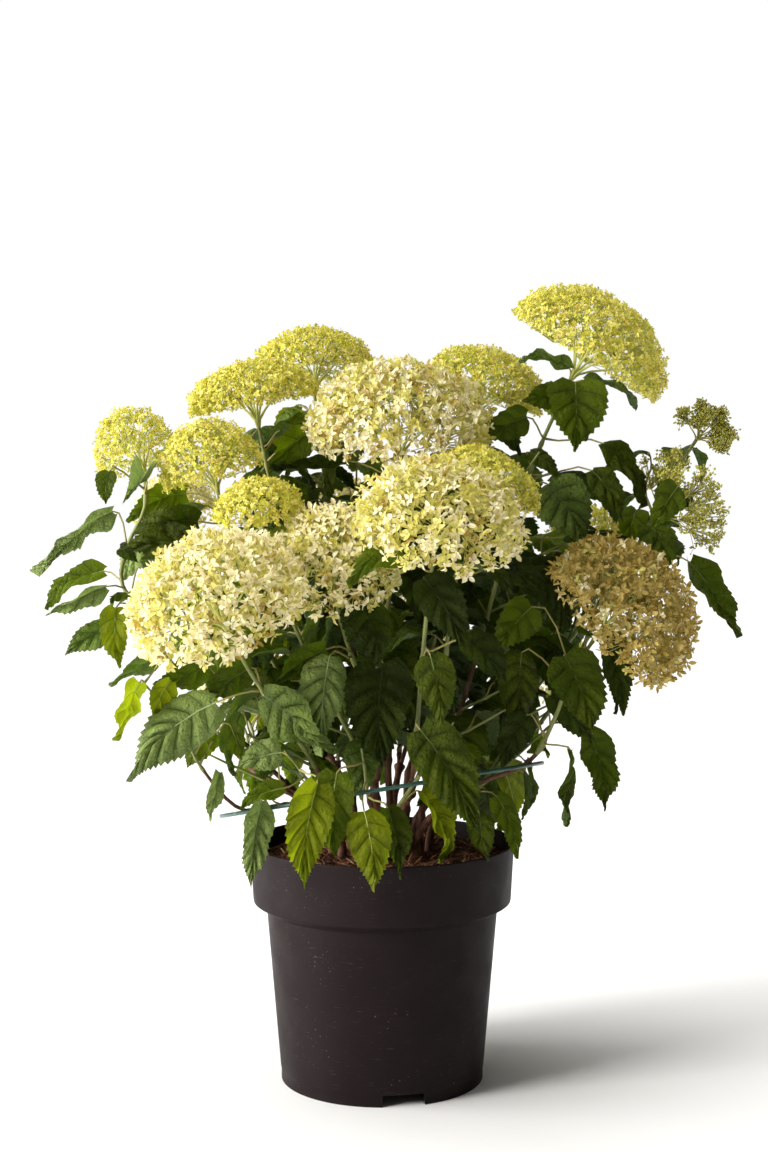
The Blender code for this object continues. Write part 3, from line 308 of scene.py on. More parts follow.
# For each kind: florets per square metre of the head's radius squared, their size and its spread, how far
# down the dome they reach (degrees), the radius of their stalks, and each layer's reach, share and disorder.
Florets = namedtuple("Florets", "density size spread lowest stalk layers")
FLORETS = {
    "cream": Florets(
        118000, 0.0078, (0.78, 1.22), 110, 0.00038, (((0.93, 1.04), 0.62, 0.50), ((0.78, 0.92), 0.38, 0.70))
    ),
    "lime": Florets(
        300000, 0.0040, (0.7, 1.3), 96, 0.00034, (((0.93, 1.03), 0.68, 0.45), ((0.84, 0.93), 0.32, 0.6))
    ),
}
RAY_FORKS = (7, 4)  # main rays, and branches of each
RAY_SPREAD = math.radians(88)  # from the axis to the outermost
RAY_KNOT = 0.42  # where rays fork, as a share of the head's radius
RAY_TIP = 0.72
RAY_RADII = (0.0019, 0.0015, 0.0013, 0.0011, 0.0010)
BRANCH_RADII = (0.0010, 0.0008, 0.0007, 0.0006)
BUD_RAY_RADII = (0.0014, 0.0011, 0.0009, 0.0008, 0.0007, 0.0006)
BUD_SPRAYS = 36
BUDS_PER_SPRAY = 5
BUD_SIZE = 0.0014

# ---- Canes in the looks ----
CANE_FINE_STEP = 0.0028
CANE_FINE_SIDES = 14
CANE_JOINTS = (0.35, 0.68)  # shares of the length
CANE_JOINT_SWELL = 0.30
CANE_JOINT_LENGTH = 0.0035
CANE_END_LENGTH = 0.006  # of the flare at the foot and of the knuckle
CANE_RELIEF = 0.10

# ---- Pot, mulch and hoop in the looks ----
POT_FINE_SEGMENTS = 160
LIP = 0.0011  # radius of the rounded lip
NOTCH_FLARE = 0.06  # a notch is wider by this at the ground, and narrower at its top
SOFTEST_EDGE = math.radians(32)  # the pot's edges are shaded as sharp from here on
MULCH_FINE_SEGMENTS = 96
MULCH_RINGS = 30
CHIP_COUNT = 2600
CHIP_LENGTH = (0.003, 0.012)  # from the middle to the end
LONG_CHIP = 1.4  # every ninth chip is longer
CHIP_WIDTH = (0.10, 0.34)  # of its length
CHIP_ENDS = (0.55, 1.0, 0.85, 0.4)  # of its width, from end to end
HOOP_FINE_SEGMENTS = 144
HOOP_FINE_SIDES = 12

# ---- Stage and camera ----
FLOOR_REACH = 12
SENSOR = 36
FOCAL_PIXELS = 1900  # of a picture that is PICTURE_HEIGHT tall
PICTURE_HEIGHT = 1152
CAMERA_PLACE = (0.002, -2.0, 0.645)
CAMERA_DROP = 3.18  # degrees below level
MIDDLE = Vector((0, 0, 0.45))  # of the plant

# ---- Canes, shoots and set leaves ----
Cane = namedtuple("Cane", "name reach bearing height")
Head = namedtuple("Head", "x y z radius dome tilt bearing kind")
Shoot = namedtuple("Shoot", "name cane head phase leaf droop via", defaults=(None,))
SetLeaf = namedtuple("SetLeaf", "shoot base tip width turn bend")

# Forks: how far out and in which direction each one stands (degrees, 0 is +X, 270 the front), and how high.
CANES = (
    Cane("front_left", 0.085, 236, 0.300),
    Cane("front", 0.055, 262, 0.330),
    Cane("front_low", 0.085, 271, 0.285),
    Cane("front_right", 0.075, 293, 0.315),
    Cane("middle", 0.025, 300, 0.385),
    Cane("right_front", 0.085, 318, 0.300),
    Cane("right", 0.070, 350, 0.345),
    Cane("far_right", 0.105, 12, 0.330),
    Cane("back_right", 0.055, 40, 0.355),
    Cane("back_right_low", 0.095, 48, 0.300),
    Cane("back", 0.080, 76, 0.320),
    Cane("back_middle", 0.045, 110, 0.375),
    Cane("back_left_low", 0.095, 122, 0.300),
    Cane("back_left", 0.070, 148, 0.340),
    Cane("left", 0.050, 178, 0.365),
    Cane("far_left", 0.105, 184, 0.315),
    Cane("left_front", 0.090, 210, 0.300),
)

# A head says where the bloom's middle is, its radius, the dome's height as a share of the radius, and its
# lean (degrees from upright, bearing).
SHOOTS = (
    Shoot("cream_front_left", "front_left",
          Head(-0.164, -0.220, 0.541, 0.083, 0.76, 31, 235, "cream"), 20, 1.0, 1.0),
    Shoot("cream_front", "front", Head(-0.050, -0.130, 0.570, 0.064, 1.0, 22, 262, "cream"), 70, 1.0, 1.1),
    Shoot("cream_front_right", "front_right",
          Head(0.057, -0.215, 0.617, 0.079, 0.70, 24, 290, "cream"), 10, 1.0, 1.1),
    Shoot("cream_top", "middle", Head(0.020, -0.030, 0.716, 0.093, 0.72, 12, 275, "cream"), 40, 0.9, 0.9),
    Shoot("lime_middle_right", "front_right",
          Head(0.114, -0.105, 0.642, 0.053, 0.58, 32, 345, "lime"), 60, 0.9, 1.0),
    Shoot("lime_back_top", "back_right",
          Head(0.118, 0.100, 0.749, 0.066, 0.74, 18, 0, "lime"), 15, 0.9, 0.8),
    Shoot("lime_top_right", "right", Head(0.226, -0.020, 0.788, 0.086, 0.72, 32, 350, "lime"), 55, 0.95, 0.8),
    Shoot("bud_top", "far_right",
          Head(0.352, 0.050, 0.694, 0.030, 0.9, 42, 10, "bud"), 35, 0.7, 0.9, (0.262, 0.030, 0.545)),
    Shoot("bud_far_right", "far_right", Head(0.318, -0.012, 0.618, 0.054, 0.8, 50, 0, "bud"), 80, 0.8, 1.0),
    Shoot("cream_right", "right_front",
          Head(0.258, -0.105, 0.520, 0.080, 0.82, 48, 340, "cream"), 25, 1.0, 1.1, "hoop"),
    Shoot("lime_top_left", "back_middle",
          Head(-0.079, 0.140, 0.775, 0.067, 0.70, 8, 120, "lime"), 65, 0.9, 0.8),
    Shoot("lime_upper_left", "left", Head(-0.139, 0.025, 0.735, 0.070, 0.60, 10, 190, "lime"), 5, 0.9, 0.8),
    Shoot("lime_left", "left", Head(-0.179, -0.060, 0.664, 0.053, 1.02, 16, 200, "lime"), 50, 0.95, 0.9),
    Shoot("lime_far_left", "far_left",
          Head(-0.262, -0.025, 0.678, 0.043, 1.25, 28, 160, "lime"), 85, 1.0, 0.6, (-0.270, -0.025, 0.525)),
    Shoot("lime_middle_left", "front",
          Head(-0.124, -0.110, 0.616, 0.044, 0.80, 14, 240, "lime"), 30, 0.9, 0.9),
    Shoot("cream_back_left", "back_left",
          Head(-0.238, 0.150, 0.612, 0.048, 0.85, 34, 145, "cream"), 75, 1.0, 1.0),
    Shoot("lime_back_right", "back_right",
          Head(0.245, 0.150, 0.570, 0.055, 0.80, 35, 40, "lime"), 45, 1.0, 1.0),
    Shoot("cream_back", "back_middle",
          Head(-0.050, 0.265, 0.590, 0.078, 0.85, 30, 100, "cream"), 12, 1.0, 1.0),
    Shoot("lime_back", "back", Head(0.095, 0.255, 0.600, 0.066, 0.80, 30, 70, "lime"), 58, 1.0, 1.0),
    Shoot("cream_low_back_left", "back_left_low",
          Head(-0.180, 0.245, 0.455, 0.072, 0.9, 52, 128, "cream"), 33, 1.0, 1.1, "hoop"),
    Shoot("cream_low_back", "back", Head(0.030, 0.290, 0.440, 0.068, 0.90, 55, 85, "cream"), 80, 1.0, 1.1),
    Shoot("lime_low_back_right", "back_right_low",
          Head(0.195, 0.230, 0.430, 0.060, 0.85, 50, 48, "lime"), 18, 1.0, 1.1, "hoop"),
    Shoot("leafy_left", "left_front",
          Head(-0.235, -0.150, 0.440, 0, 0, 50, 212, "leafy"), 30, 1.0, 1.0, "hoop"),
    Shoot("leafy_low_left", "left_front", Head(-0.185, -0.075, 0.360, 0, 0, 60, 200, "leafy"), 75, 0.9, 1.3),
    Shoot("leafy_front_left", "front_left",
          Head(-0.095, -0.160, 0.372, 0, 0, 55, 240, "leafy"), 10, 1.0, 1.3),
    Shoot("leafy_front", "front_low", Head(-0.020, -0.165, 0.375, 0, 0, 50, 262, "leafy"), 60, 1.0, 1.3),
    Shoot("leafy_front_right", "front_low", Head(0.070, -0.160, 0.400, 0, 0, 50, 295, "leafy"), 20, 1.0, 1.3),
    Shoot("leafy_right", "right_front", Head(0.195, -0.025, 0.395, 0, 0, 50, 352, "leafy"), 50, 1.0, 1.3),
    Shoot("leafy_middle", "middle", Head(0.085, -0.020, 0.560, 0, 0, 25, 350, "leafy"), 0, 1.0, 1.0),
    Shoot("leafy_far_left", "far_left", Head(-0.225, 0.075, 0.430, 0, 0, 50, 165, "leafy"), 25, 1.0, 0.9),
    Shoot("leafy_back_left", "back_left", Head(-0.130, 0.150, 0.480, 0, 0, 40, 130, "leafy"), 65, 1.0, 1.0),
    Shoot("leafy_low_back", "back_left_low",
          Head(-0.060, 0.185, 0.375, 0, 0, 50, 105, "leafy"), 40, 1.0, 1.2),
    Shoot("leafy_back_right", "back_right_low",
          Head(0.215, 0.110, 0.400, 0, 0, 50, 28, "leafy"), 5, 1.0, 1.1),
    Shoot("leafy_upper_right", "right", Head(0.235, 0.060, 0.555, 0, 0, 35, 15, "leafy"), 70, 1.0, 1.0),
)

# The leaves that show most, by the ends of their blades and the angle that they turn from facing the front.
SET_LEAVES = (
    SetLeaf("lime_top_right", (0.199, -0.035, 0.736), (0.199, -0.060, 0.664), 0.066, 0, 30),
    SetLeaf("lime_top_right", (0.180, -0.030, 0.724), (0.146, -0.045, 0.713), 0.034, 15, 25),
    SetLeaf("lime_top_right", (0.194, -0.020, 0.751), (0.142, -0.040, 0.755), 0.026, 70, 70),
    SetLeaf("lime_top_right", (0.211, -0.045, 0.739), (0.269, -0.050, 0.713), 0.030, 62, 40),
    SetLeaf("lime_top_right", (0.231, -0.020, 0.673), (0.277, -0.030, 0.609), 0.042, 40, 30),
    SetLeaf("lime_top_right", (0.216, -0.045, 0.645), (0.246, -0.055, 0.593), 0.036, 15, 30),
    SetLeaf("lime_top_right", (0.171, -0.045, 0.631), (0.207, -0.075, 0.571), 0.062, 5, 25),
    SetLeaf("lime_top_right", (0.149, -0.030, 0.700), (0.105, -0.045, 0.675), 0.036, 20, 25),
    SetLeaf("lime_top_right", (0.152, -0.045, 0.664), (0.184, -0.050, 0.639), 0.026, 40, 25),
    SetLeaf("bud_far_right", (0.300, -0.060, 0.629), (0.275, -0.070, 0.586), 0.040, 10, 25),
    SetLeaf("bud_far_right", (0.324, 0.000, 0.548), (0.370, 0.005, 0.466), 0.040, -50, 30),
    SetLeaf("bud_far_right", (0.243, 0.000, 0.474), (0.251, 0.005, 0.386), 0.036, 5, 25),
    SetLeaf("lime_top_right", (0.192, -0.020, 0.576), (0.273, -0.030, 0.567), 0.026, 62, 25),
    SetLeaf("cream_right", (0.226, -0.085, 0.480), (0.240, -0.095, 0.397), 0.038, 25, 25),
    SetLeaf("cream_right", (0.183, -0.105, 0.460), (0.208, -0.125, 0.383), 0.058, 5, 25),
    SetLeaf("cream_right", (0.193, -0.090, 0.360), (0.190, -0.092, 0.285), 0.034, 70, 25),
    SetLeaf("cream_right", (0.142, -0.080, 0.461), (0.139, -0.085, 0.372), 0.042, 10, 25),
    SetLeaf("cream_right", (0.146, -0.085, 0.398), (0.121, -0.100, 0.346), 0.038, 5, 25),
    SetLeaf("leafy_right", (0.174, -0.060, 0.415), (0.215, -0.065, 0.361), 0.036, 35, 30),
    SetLeaf("leafy_right", (0.212, -0.060, 0.377), (0.232, -0.060, 0.294), 0.040, 20, 25),
    SetLeaf("leafy_right", (0.117, -0.075, 0.313), (0.144, -0.085, 0.251), 0.028, 20, 25),
    SetLeaf("leafy_right", (0.099, -0.085, 0.297), (0.101, -0.100, 0.250), 0.032, 0, 25),
    SetLeaf("cream_right", (0.150, -0.105, 0.509), (0.114, -0.125, 0.464), 0.046, 5, 25),
    SetLeaf("lime_middle_right", (0.119, -0.080, 0.548), (0.166, -0.100, 0.525), 0.042, 20, 25),
    SetLeaf("cream_front_right", (0.079, -0.170, 0.481), (0.125, -0.180, 0.444), 0.040, 30, 25),
    SetLeaf("cream_front_right", (0.046, -0.175, 0.470), (0.056, -0.190, 0.404), 0.040, 5, 25),
    SetLeaf("cream_front_right", (0.040, -0.190, 0.543), (0.076, -0.205, 0.475), 0.048, 10, 25),
    SetLeaf("cream_front_right", (0.037, -0.182, 0.396), (0.095, -0.192, 0.298), 0.062, 10, 20),
    SetLeaf("cream_front", (0.001, -0.140, 0.456), (-0.006, -0.160, 0.351), 0.070, 0, 25),
    SetLeaf("cream_front", (-0.023, -0.165, 0.520), (0.003, -0.185, 0.456), 0.056, 5, 25),
    SetLeaf("cream_front", (-0.051, -0.150, 0.464), (-0.062, -0.170, 0.367), 0.048, 8, 25),
    SetLeaf("cream_front", (-0.055, -0.140, 0.469), (-0.111, -0.150, 0.432), 0.038, 30, 25),
    SetLeaf("cream_front_left", (-0.115, -0.160, 0.426), (-0.053, -0.175, 0.366), 0.060, 0, 25),
    SetLeaf("cream_front_left", (-0.162, -0.165, 0.420), (-0.254, -0.175, 0.348), 0.056, -20, 30),
    SetLeaf("cream_front_left", (-0.128, -0.140, 0.451), (-0.174, -0.150, 0.419), 0.040, 25, 30),
    SetLeaf("leafy_front_left", (-0.062, -0.182, 0.343), (-0.077, -0.196, 0.244), 0.052, 12, 25),
    SetLeaf("leafy_front_left", (-0.099, -0.150, 0.369), (-0.140, -0.160, 0.356), 0.032, 0, 25),
    SetLeaf("leafy_front_left", (-0.097, -0.140, 0.332), (-0.142, -0.150, 0.317), 0.024, -30, 25),
    SetLeaf("leafy_front", (-0.044, -0.172, 0.352), (-0.049, -0.178, 0.270), 0.048, 0, 20),
    SetLeaf("leafy_front", (-0.017, -0.184, 0.317), (-0.007, -0.196, 0.240), 0.044, 8, 25),
    SetLeaf("leafy_front", (0.006, -0.150, 0.314), (0.016, -0.158, 0.244), 0.034, 15, 25),
    SetLeaf("leafy_left", (-0.213, -0.150, 0.468), (-0.261, -0.160, 0.432), 0.036, 40, 25),
    SetLeaf("leafy_left", (-0.234, -0.165, 0.440), (-0.251, -0.165, 0.383), 0.044, 62, 30),
    SetLeaf("leafy_left", (-0.207, -0.150, 0.440), (-0.222, -0.155, 0.404), 0.030, 40, 30),
    SetLeaf("leafy_left", (-0.171, -0.130, 0.450), (-0.220, -0.145, 0.428), 0.038, 20, 25),
    SetLeaf("leafy_left", (-0.171, -0.105, 0.384), (-0.194, -0.110, 0.346), 0.034, 10, 25),
    SetLeaf("leafy_left", (-0.153, -0.100, 0.390), (-0.143, -0.105, 0.352), 0.024, 10, 25),
    SetLeaf("leafy_left", (-0.119, -0.138, 0.318), (-0.130, -0.144, 0.232), 0.036, 35, 15),
    SetLeaf("leafy_left", (-0.163, -0.100, 0.342), (-0.171, -0.105, 0.292), 0.025, 50, 25),
    SetLeaf("lime_far_left", (-0.282, -0.015, 0.602), (-0.357, -0.010, 0.533), 0.046, 45, 45),
    SetLeaf("lime_far_left", (-0.293, -0.005, 0.540), (-0.362, 0.000, 0.502), 0.040, -40, 30),
    SetLeaf("lime_far_left", (-0.281, -0.040, 0.527), (-0.338, -0.045, 0.494), 0.036, 25, 30),
    SetLeaf("lime_far_left", (-0.277, -0.045, 0.487), (-0.328, -0.050, 0.455), 0.038, 20, 25),
    SetLeaf("lime_far_left", (-0.272, -0.065, 0.505), (-0.273, -0.075, 0.443), 0.042, 0, 25),
    SetLeaf("lime_far_left", (-0.277, -0.040, 0.644), (-0.280, -0.045, 0.611), 0.026, 0, 25),
    SetLeaf("lime_far_left", (-0.270, -0.045, 0.565), (-0.251, -0.050, 0.551), 0.026, 10, 25),
    SetLeaf("lime_left", (-0.205, -0.030, 0.621), (-0.264, -0.040, 0.590), 0.040, 40, 50),
    SetLeaf("lime_left", (-0.188, -0.060, 0.593), (-0.252, -0.070, 0.576), 0.044, 20, 45),
    SetLeaf("lime_left", (-0.190, -0.065, 0.565), (-0.265, -0.070, 0.566), 0.044, 25, 45),
    SetLeaf("lime_upper_left", (-0.080, 0.000, 0.683), (-0.114, -0.010, 0.647), 0.038, 5, 25),
    SetLeaf("cream_top", (-0.042, -0.005, 0.655), (-0.108, -0.015, 0.637), 0.030, 60, 30),
)

SHOOT_NODES = ["shoot_" + shoot.name for shoot in SHOOTS]
CANE_NODES = ["cane_" + cane.name for cane in CANES]


def on_bearing(degrees, reach, height=0.0):
    """The point that far out in that direction, at that height."""
    angle = math.radians(degrees)
    return Vector((reach * math.cos(angle), reach * math.sin(angle), height))


def leaning(degrees, bearing):
    """A unit vector that leans that far from upright."""
    angle = math.radians(degrees)
    return (UP * math.cos(angle) + on_bearing(bearing, 1) * math.sin(angle)).normalized()


# ---- Curves and meshes ----


def bezier(start, start_way, end, end_way, steps, pull=0.36):
    """Points on a smooth curve that leaves start along start_way and arrives at end along end_way."""
    handle = (end - start).length * pull
    corners = (start, start + start_way * handle, end - end_way * handle, end)
    points = []
    for step in range(steps + 1):
        t = step / steps
        weights = ((1 - t) ** 3, 3 * t * (1 - t) ** 2, 3 * t * t * (1 - t), t**3)
        points.append(sum((c * w for c, w in zip(corners, weights)), Vector()))
    return points


def tangents(points):
    """The path's direction at each point."""
    ways = []
    for index in range(len(points)):
        before = points[max(index - 1, 0)]
        after = points[min(index + 1, len(points) - 1)]
        ways.append((after - before).normalized())
    return ways


def across(way):
    """Two unit vectors square to way and to each other."""
    aside = way.cross(UP if abs(way.z) < 0.95 else Vector((0, 1, 0))).normalized()
    return aside, way.cross(aside).normalized()


def carried(points, turn=0.0):
    """At each point the path's direction and two vectors square to it, carried along without twisting."""
    frames = []
    ways = tangents(points)
    aside, other = across(ways[0])
    aside = aside * math.cos(turn) + other * math.sin(turn)
    for way in ways:
        aside = (aside - way * aside.dot(way)).normalized()
        frames.append((way, aside, way.cross(aside)))
    return frames


def tube(points, radii, sides, turn=0.0, flat_start=False):
    """A closed tapering tube as (corners, faces), one of its sides facing turn. A flat start is cut level."""
    corners, faces = [], []
    for index, (point, radius, (_, aside, other)) in enumerate(zip(points, radii, carried(points, turn))):
        if flat_start and index == 0:
            aside = (aside - UP * aside.z).normalized()
            other = UP.cross(aside)
        for side in range(sides):
            angle = TURN * (side + 0.5) / sides
            corners.append(point + (aside * math.cos(angle) + other * math.sin(angle)) * radius)
        if index:
            low, high = (index - 1) * sides, index * sides
            for side in range(sides):
                after = (side + 1) % sides
                faces.append((low + side, low + after, high + after, high + side))
    faces.append(tuple(range(sides))[::-1])
    last = (len(points) - 1) * sides
    faces.append(tuple(range(last, last + sides)))
    return corners, faces


def turned(profile, segments):
    """A closed solid turned about Z from a loop of (radius, height), or one that ends on the axis."""
    corners, faces, rings = [], [], []
    for radius, height in profile:
        if radius == 0:
            rings.append([len(corners)] * segments)
            corners.append(Vector((0, 0, height)))
            continue
        rings.append(range(len(corners), len(corners) + segments))
        for segment in range(segments):
            angle = TURN * segment / segments
            corners.append(Vector((radius * math.cos(angle), radius * math.sin(angle), height)))
    for low, high in zip(rings, rings[1:]):
        for segment in range(segments):
            after = (segment + 1) % segments
            loop = [low[segment], low[after], high[after], high[segment]]
            faces.append(tuple(dict.fromkeys(loop)))
    return corners, faces


# ---- Pot, mulch and hoop ----


def pot_profile():
    """From the pad under the floor, down round the skirt, up the outside of the wall and down the inside."""
    floor = SKIRT_HEIGHT + WALL
    foot = BODY_FOOT_RADIUS
    return (
        (0, 0),
        (PAD_RADIUS, 0),
        (PAD_RADIUS + WALL, SKIRT_HEIGHT),
        (foot - SKIRT_STEP - WALL, SKIRT_HEIGHT),
        (foot - SKIRT_STEP - WALL, 0),
        (foot - SKIRT_STEP, 0),
        (foot - SKIRT_STEP, SKIRT_HEIGHT - SKIRT_STEP),
        (foot, SKIRT_HEIGHT),
        (BODY_TOP_RADIUS, BODY_TOP),
        (BAND_FOOT_RADIUS, BAND_FOOT),
        (RIM_RADIUS, POT_HEIGHT),
        (RIM_RADIUS - WALL, POT_HEIGHT),
        (BAND_FOOT_RADIUS - WALL, BAND_FOOT + WALL),
        (BODY_TOP_RADIUS - WALL, BODY_TOP + WALL),
        (foot - WALL, floor),
        (0, floor),
    )


def mulch_shape():
    inner_foot = BODY_FOOT_RADIUS - WALL - GAP
    floor = SKIRT_HEIGHT + WALL + GAP
    rise = (MULCH_EDGE - BAND_FOOT - WALL) / (POT_HEIGHT - BAND_FOOT - WALL)
    edge = BAND_FOOT_RADIUS - WALL + (RIM_RADIUS - BAND_FOOT_RADIUS) * rise - 2 * GAP
    profile = (
        (0, floor),
        (inner_foot, floor),
        (BODY_TOP_RADIUS - WALL - 2 * GAP, BODY_TOP + WALL + GAP),
        (BAND_FOOT_RADIUS - WALL - 2 * GAP, BAND_FOOT + WALL + GAP),
        (edge, MULCH_EDGE),
        (MULCH_FLAT_RADIUS, MULCH_TOP),
        (0, MULCH_TOP),
    )
    return turned(profile, POT_SEGMENTS)


def hoop_frame():
    turn = Matrix.Rotation(HOOP_ROLL, 4, "Y") @ Matrix.Rotation(HOOP_PITCH, 4, "X")
    return Matrix.Translation(HOOP_CENTRE) @ turn


def hoop_point(bearing):
    """The middle of the hoop's wire in that direction."""
    return hoop_frame() @ on_bearing(bearing, HOOP_RADIUS)


def hoop_shape(segments=HOOP_SEGMENTS, sides=HOOP_SIDES):
    place = hoop_frame()
    corners, faces = [], []
    for segment in range(segments):
        angle = 360 * segment / segments
        for side in range(sides):
            turn = TURN * side / sides
            out = on_bearing(angle, HOOP_RADIUS + HOOP_WIRE * math.cos(turn), HOOP_WIRE * math.sin(turn))
            corners.append(place @ out)
            near, far = segment * sides, (segment + 1) % segments * sides
            after = (side + 1) % sides
            faces.append((near + side, far + side, far + after, near + after))
    return corners, faces


# ---- Canes ----


def cane_points(cane):
    """From the flat cut on the mulch to the fork."""
    fork = on_bearing(cane.bearing, cane.reach, cane.height)
    foot_reach = min(FOOT_REACH, 0.008 + cane.reach * 0.45)
    foot = on_bearing(cane.bearing, foot_reach, MULCH_TOP + GAP)
    above = foot + UP * FLARE_HEIGHT
    out = leaning(18 + 340 * cane.reach, cane.bearing)
    curve = bezier(above, leaning(6, cane.bearing), fork - out * KNUCKLE_HEIGHT, out, CANE_STEPS)
    return [foot, *curve, fork]


def cane_shape(cane):
    points = cane_points(cane)
    steps = len(points) - 1
    radii = [FOOT_RADIUS + (FORK_RADIUS - FOOT_RADIUS) * i / steps for i in range(steps + 1)]
    radii[0] *= FLARE
    radii[-1] = KNUCKLE_RADIUS
    return tube(points, radii, CANE_SIDES, flat_start=True)


# ---- Shoots ----


def head_axis(head):
    return leaning(head.tilt, head.bearing)


def rim_centre(head):
    """The middle of the dome's rim."""
    return Vector((head.x, head.y, head.z)) - head_axis(head) * head.radius * head.dome * HEAD_MIDDLE


def hub(head):
    """Where the stem ends and the rays spread."""
    return rim_centre(head) - head_axis(head) * head.radius * HUB_DROP


def hoop_rest(start, goal):
    """Where a stem from start to goal lies on the hoop, and its direction there."""
    bearing = math.degrees(math.atan2(goal.y, goal.x))
    wire = hoop_point(bearing)
    tangent = (hoop_point(bearing + 1) - wire).normalized()
    onward = (goal - start).normalized()
    onward = (onward - tangent * onward.dot(tangent)).normalized()
    lift = onward.cross(tangent)
    if lift.z < 0:
        lift = -lift
    return wire + lift * (HOOP_WIRE + SHOOT_RADIUS + GAP), onward


def stem_points(shoot):
    """From just clear of the fork to the hub, by way of the hoop or another point where there is one."""
    cane = next(c for c in CANES if c.name == shoot.cane)
    fork_points = cane_points(cane)
    fork, cane_way = fork_points[-1], (fork_points[-1] - fork_points[-2]).normalized()
    goal = hub(shoot.head)
    way = cane_way
    apart = Vector()
    others = [s for s in SHOOTS if s.cane == shoot.cane and s.name != shoot.name]
    if others:
        apart = goal - hub(others[0].head)
        apart = (apart - way * apart.dot(way)).normalized()
        way = (way + apart * 0.45).normalized()
    # The stem's foot is square to its own way, so it is lifted until its lowest corner clears the cane.
    lift = SHOOT_RADIUS
    for _ in range(4):
        start = fork + cane_way * lift + apart * (SHOOT_RADIUS + GAP)
        arrive = (head_axis(shoot.head) + (goal - start).normalized() * 0.5).normalized()
        if not shoot.via:
            points = bezier(start, way, goal, arrive, SHOOT_STEPS)
        else:
            if shoot.via == "hoop":
                rest, onward = hoop_rest(start, goal)
            else:
                rest = Vector(shoot.via)
                onward = ((rest - start).normalized() + (goal - rest).normalized()).normalized()
            first = bezier(start, way, rest, onward, 2)
            points = first[:-1] + bezier(rest, onward, goal, arrive, SHOOT_STEPS - 2)
        foot = stem_shape(points, shoot.phase)[0][:SHOOT_SIDES]
        lift += GAP - min((corner - fork).dot(cane_way) for corner in foot)
    return points


def stem_shape(points, phase=0):
    steps = len(points) - 1
    radii = [SHOOT_RADIUS + (HUB_RADIUS - SHOOT_RADIUS) * i / steps for i in range(steps + 1)]
    return tube(points, radii, SHOOT_SIDES, turn=math.radians(phase))


def twig_shape(points, phase=0, swell=0.0):
    radii = [radius + swell for radius in (TWIG_RADIUS, TWIG_RADIUS, TWIG_TIP_RADIUS)]
    return tube(points, radii, TWIG_SIDES, turn=math.radians(phase))


def head_frame(head):
    axis = head_axis(head)
    aside, other = across(axis)
    return Matrix((aside, other, axis)).transposed().to_4x4()


def dome_shape(head):
    """The bloom's core: a domed umbrella with a hollow underside, with florets standing out as bumps."""
    frame = Matrix.Translation(rim_centre(head)) @ head_frame(head)
    wide = head.radius * CORE_SHARE
    tall = wide * head.dome
    corners = [frame @ Vector((0, 0, tall))]
    rings = []
    for row, degrees in enumerate((*HEAD_RINGS, None)):
        rings.append(range(len(corners), len(corners) + HEAD_SEGMENTS))
        for segment in range(HEAD_SEGMENTS):
            angle = TURN * (segment + 0.5 * (row % 2)) / HEAD_SEGMENTS
            swell = 1 + BUMP * (1 if (segment + row) % 2 else -0.6)
            if degrees is None:
                out, height = 0.6 * wide, 0.12 * tall
            else:
                out = wide * math.sin(math.radians(degrees)) * swell
                height = tall * math.cos(math.radians(degrees)) * swell
            corners.append(frame @ Vector((out * math.cos(angle), out * math.sin(angle), height)))
    corners.append(frame @ Vector((0, 0, 0.40 * tall)))
    faces = []
    for segment in range(HEAD_SEGMENTS):
        after = (segment + 1) % HEAD_SEGMENTS
        faces.append((0, rings[0][segment], rings[0][after]))
        faces.append((len(corners) - 1, rings[-1][after], rings[-1][segment]))
        for row, (upper, lower) in enumerate(zip(rings, rings[1:])):
            near, far = (after, segment) if row % 2 else (segment, after)
            faces.append((upper[segment], lower[near], upper[after]))
            faces.append((upper[far], lower[segment], lower[after]))
    return corners, faces


EIGHT_SIDED = ((1, 0, 0), (0, 1, 0), (-1, 0, 0), (0, -1, 0))
EIGHT_FACES = [(i, (i + 1) % 4, 4) for i in range(4)] + [((i + 1) % 4, i, 5) for i in range(4)]


def cluster_places(head):
    """Where the clusters of an unopened bloom stand, measured from the middle of its rim."""
    places = []
    for index in range(BUD_CLUSTERS):
        angle = index * BUD_TURN
        slope = BUD_SPREAD * math.sqrt((index + 0.3) / BUD_CLUSTERS)
        out = BUD_REACH * head.radius * math.sin(slope)
        height = BUD_REACH * head.radius * head.dome * math.cos(slope)
        places.append((out * math.cos(angle), out * math.sin(angle), height))
    return places


def cluster_shapes(head):
    """A bloom that hasn't opened: small clusters of buds, each on its own ray."""
    frame = Matrix.Translation(rim_centre(head)) @ head_frame(head)
    begin = hub(head) - head_axis(head) * RAY_RADIUS
    shapes = []
    size = head.radius * BUD_CLUSTER_SHARE
    for local in cluster_places(head):
        middle = frame @ Vector(local)
        corners = [middle + Vector(way) * size for way in (*EIGHT_SIDED, (0, 0, 1), (0, 0, -1))]
        shapes.append((corners, EIGHT_FACES))
        shapes.append(tube([begin, middle], [RAY_RADIUS, RAY_RADIUS * 0.7], RAY_SIDES))
    return shapes


def ray_shapes(head):
    """The rays that spread from the hub up into the dome."""
    frame = Matrix.Translation(rim_centre(head)) @ head_frame(head)
    begin = hub(head) - head_axis(head) * RAY_RADIUS
    rays = []
    for index in range(RAY_COUNT):
        angle = TURN * (index + 0.25) / RAY_COUNT
        out = 0.5 * head.radius
        end = frame @ Vector((out * math.cos(angle), out * math.sin(angle), 0.35 * head.radius * head.dome))
        rays.append(tube([begin, end], [RAY_RADIUS, RAY_RADIUS], RAY_SIDES))
    return rays


def bloom_shapes(head):
    if head.kind == "leafy":
        return []
    if head.kind == "bud":
        return cluster_shapes(head)
    return [*ray_shapes(head), dome_shape(head)]


# ---- Leaves ----

Blade = namedtuple("Blade", "root base heading length width dip curl roll fold")


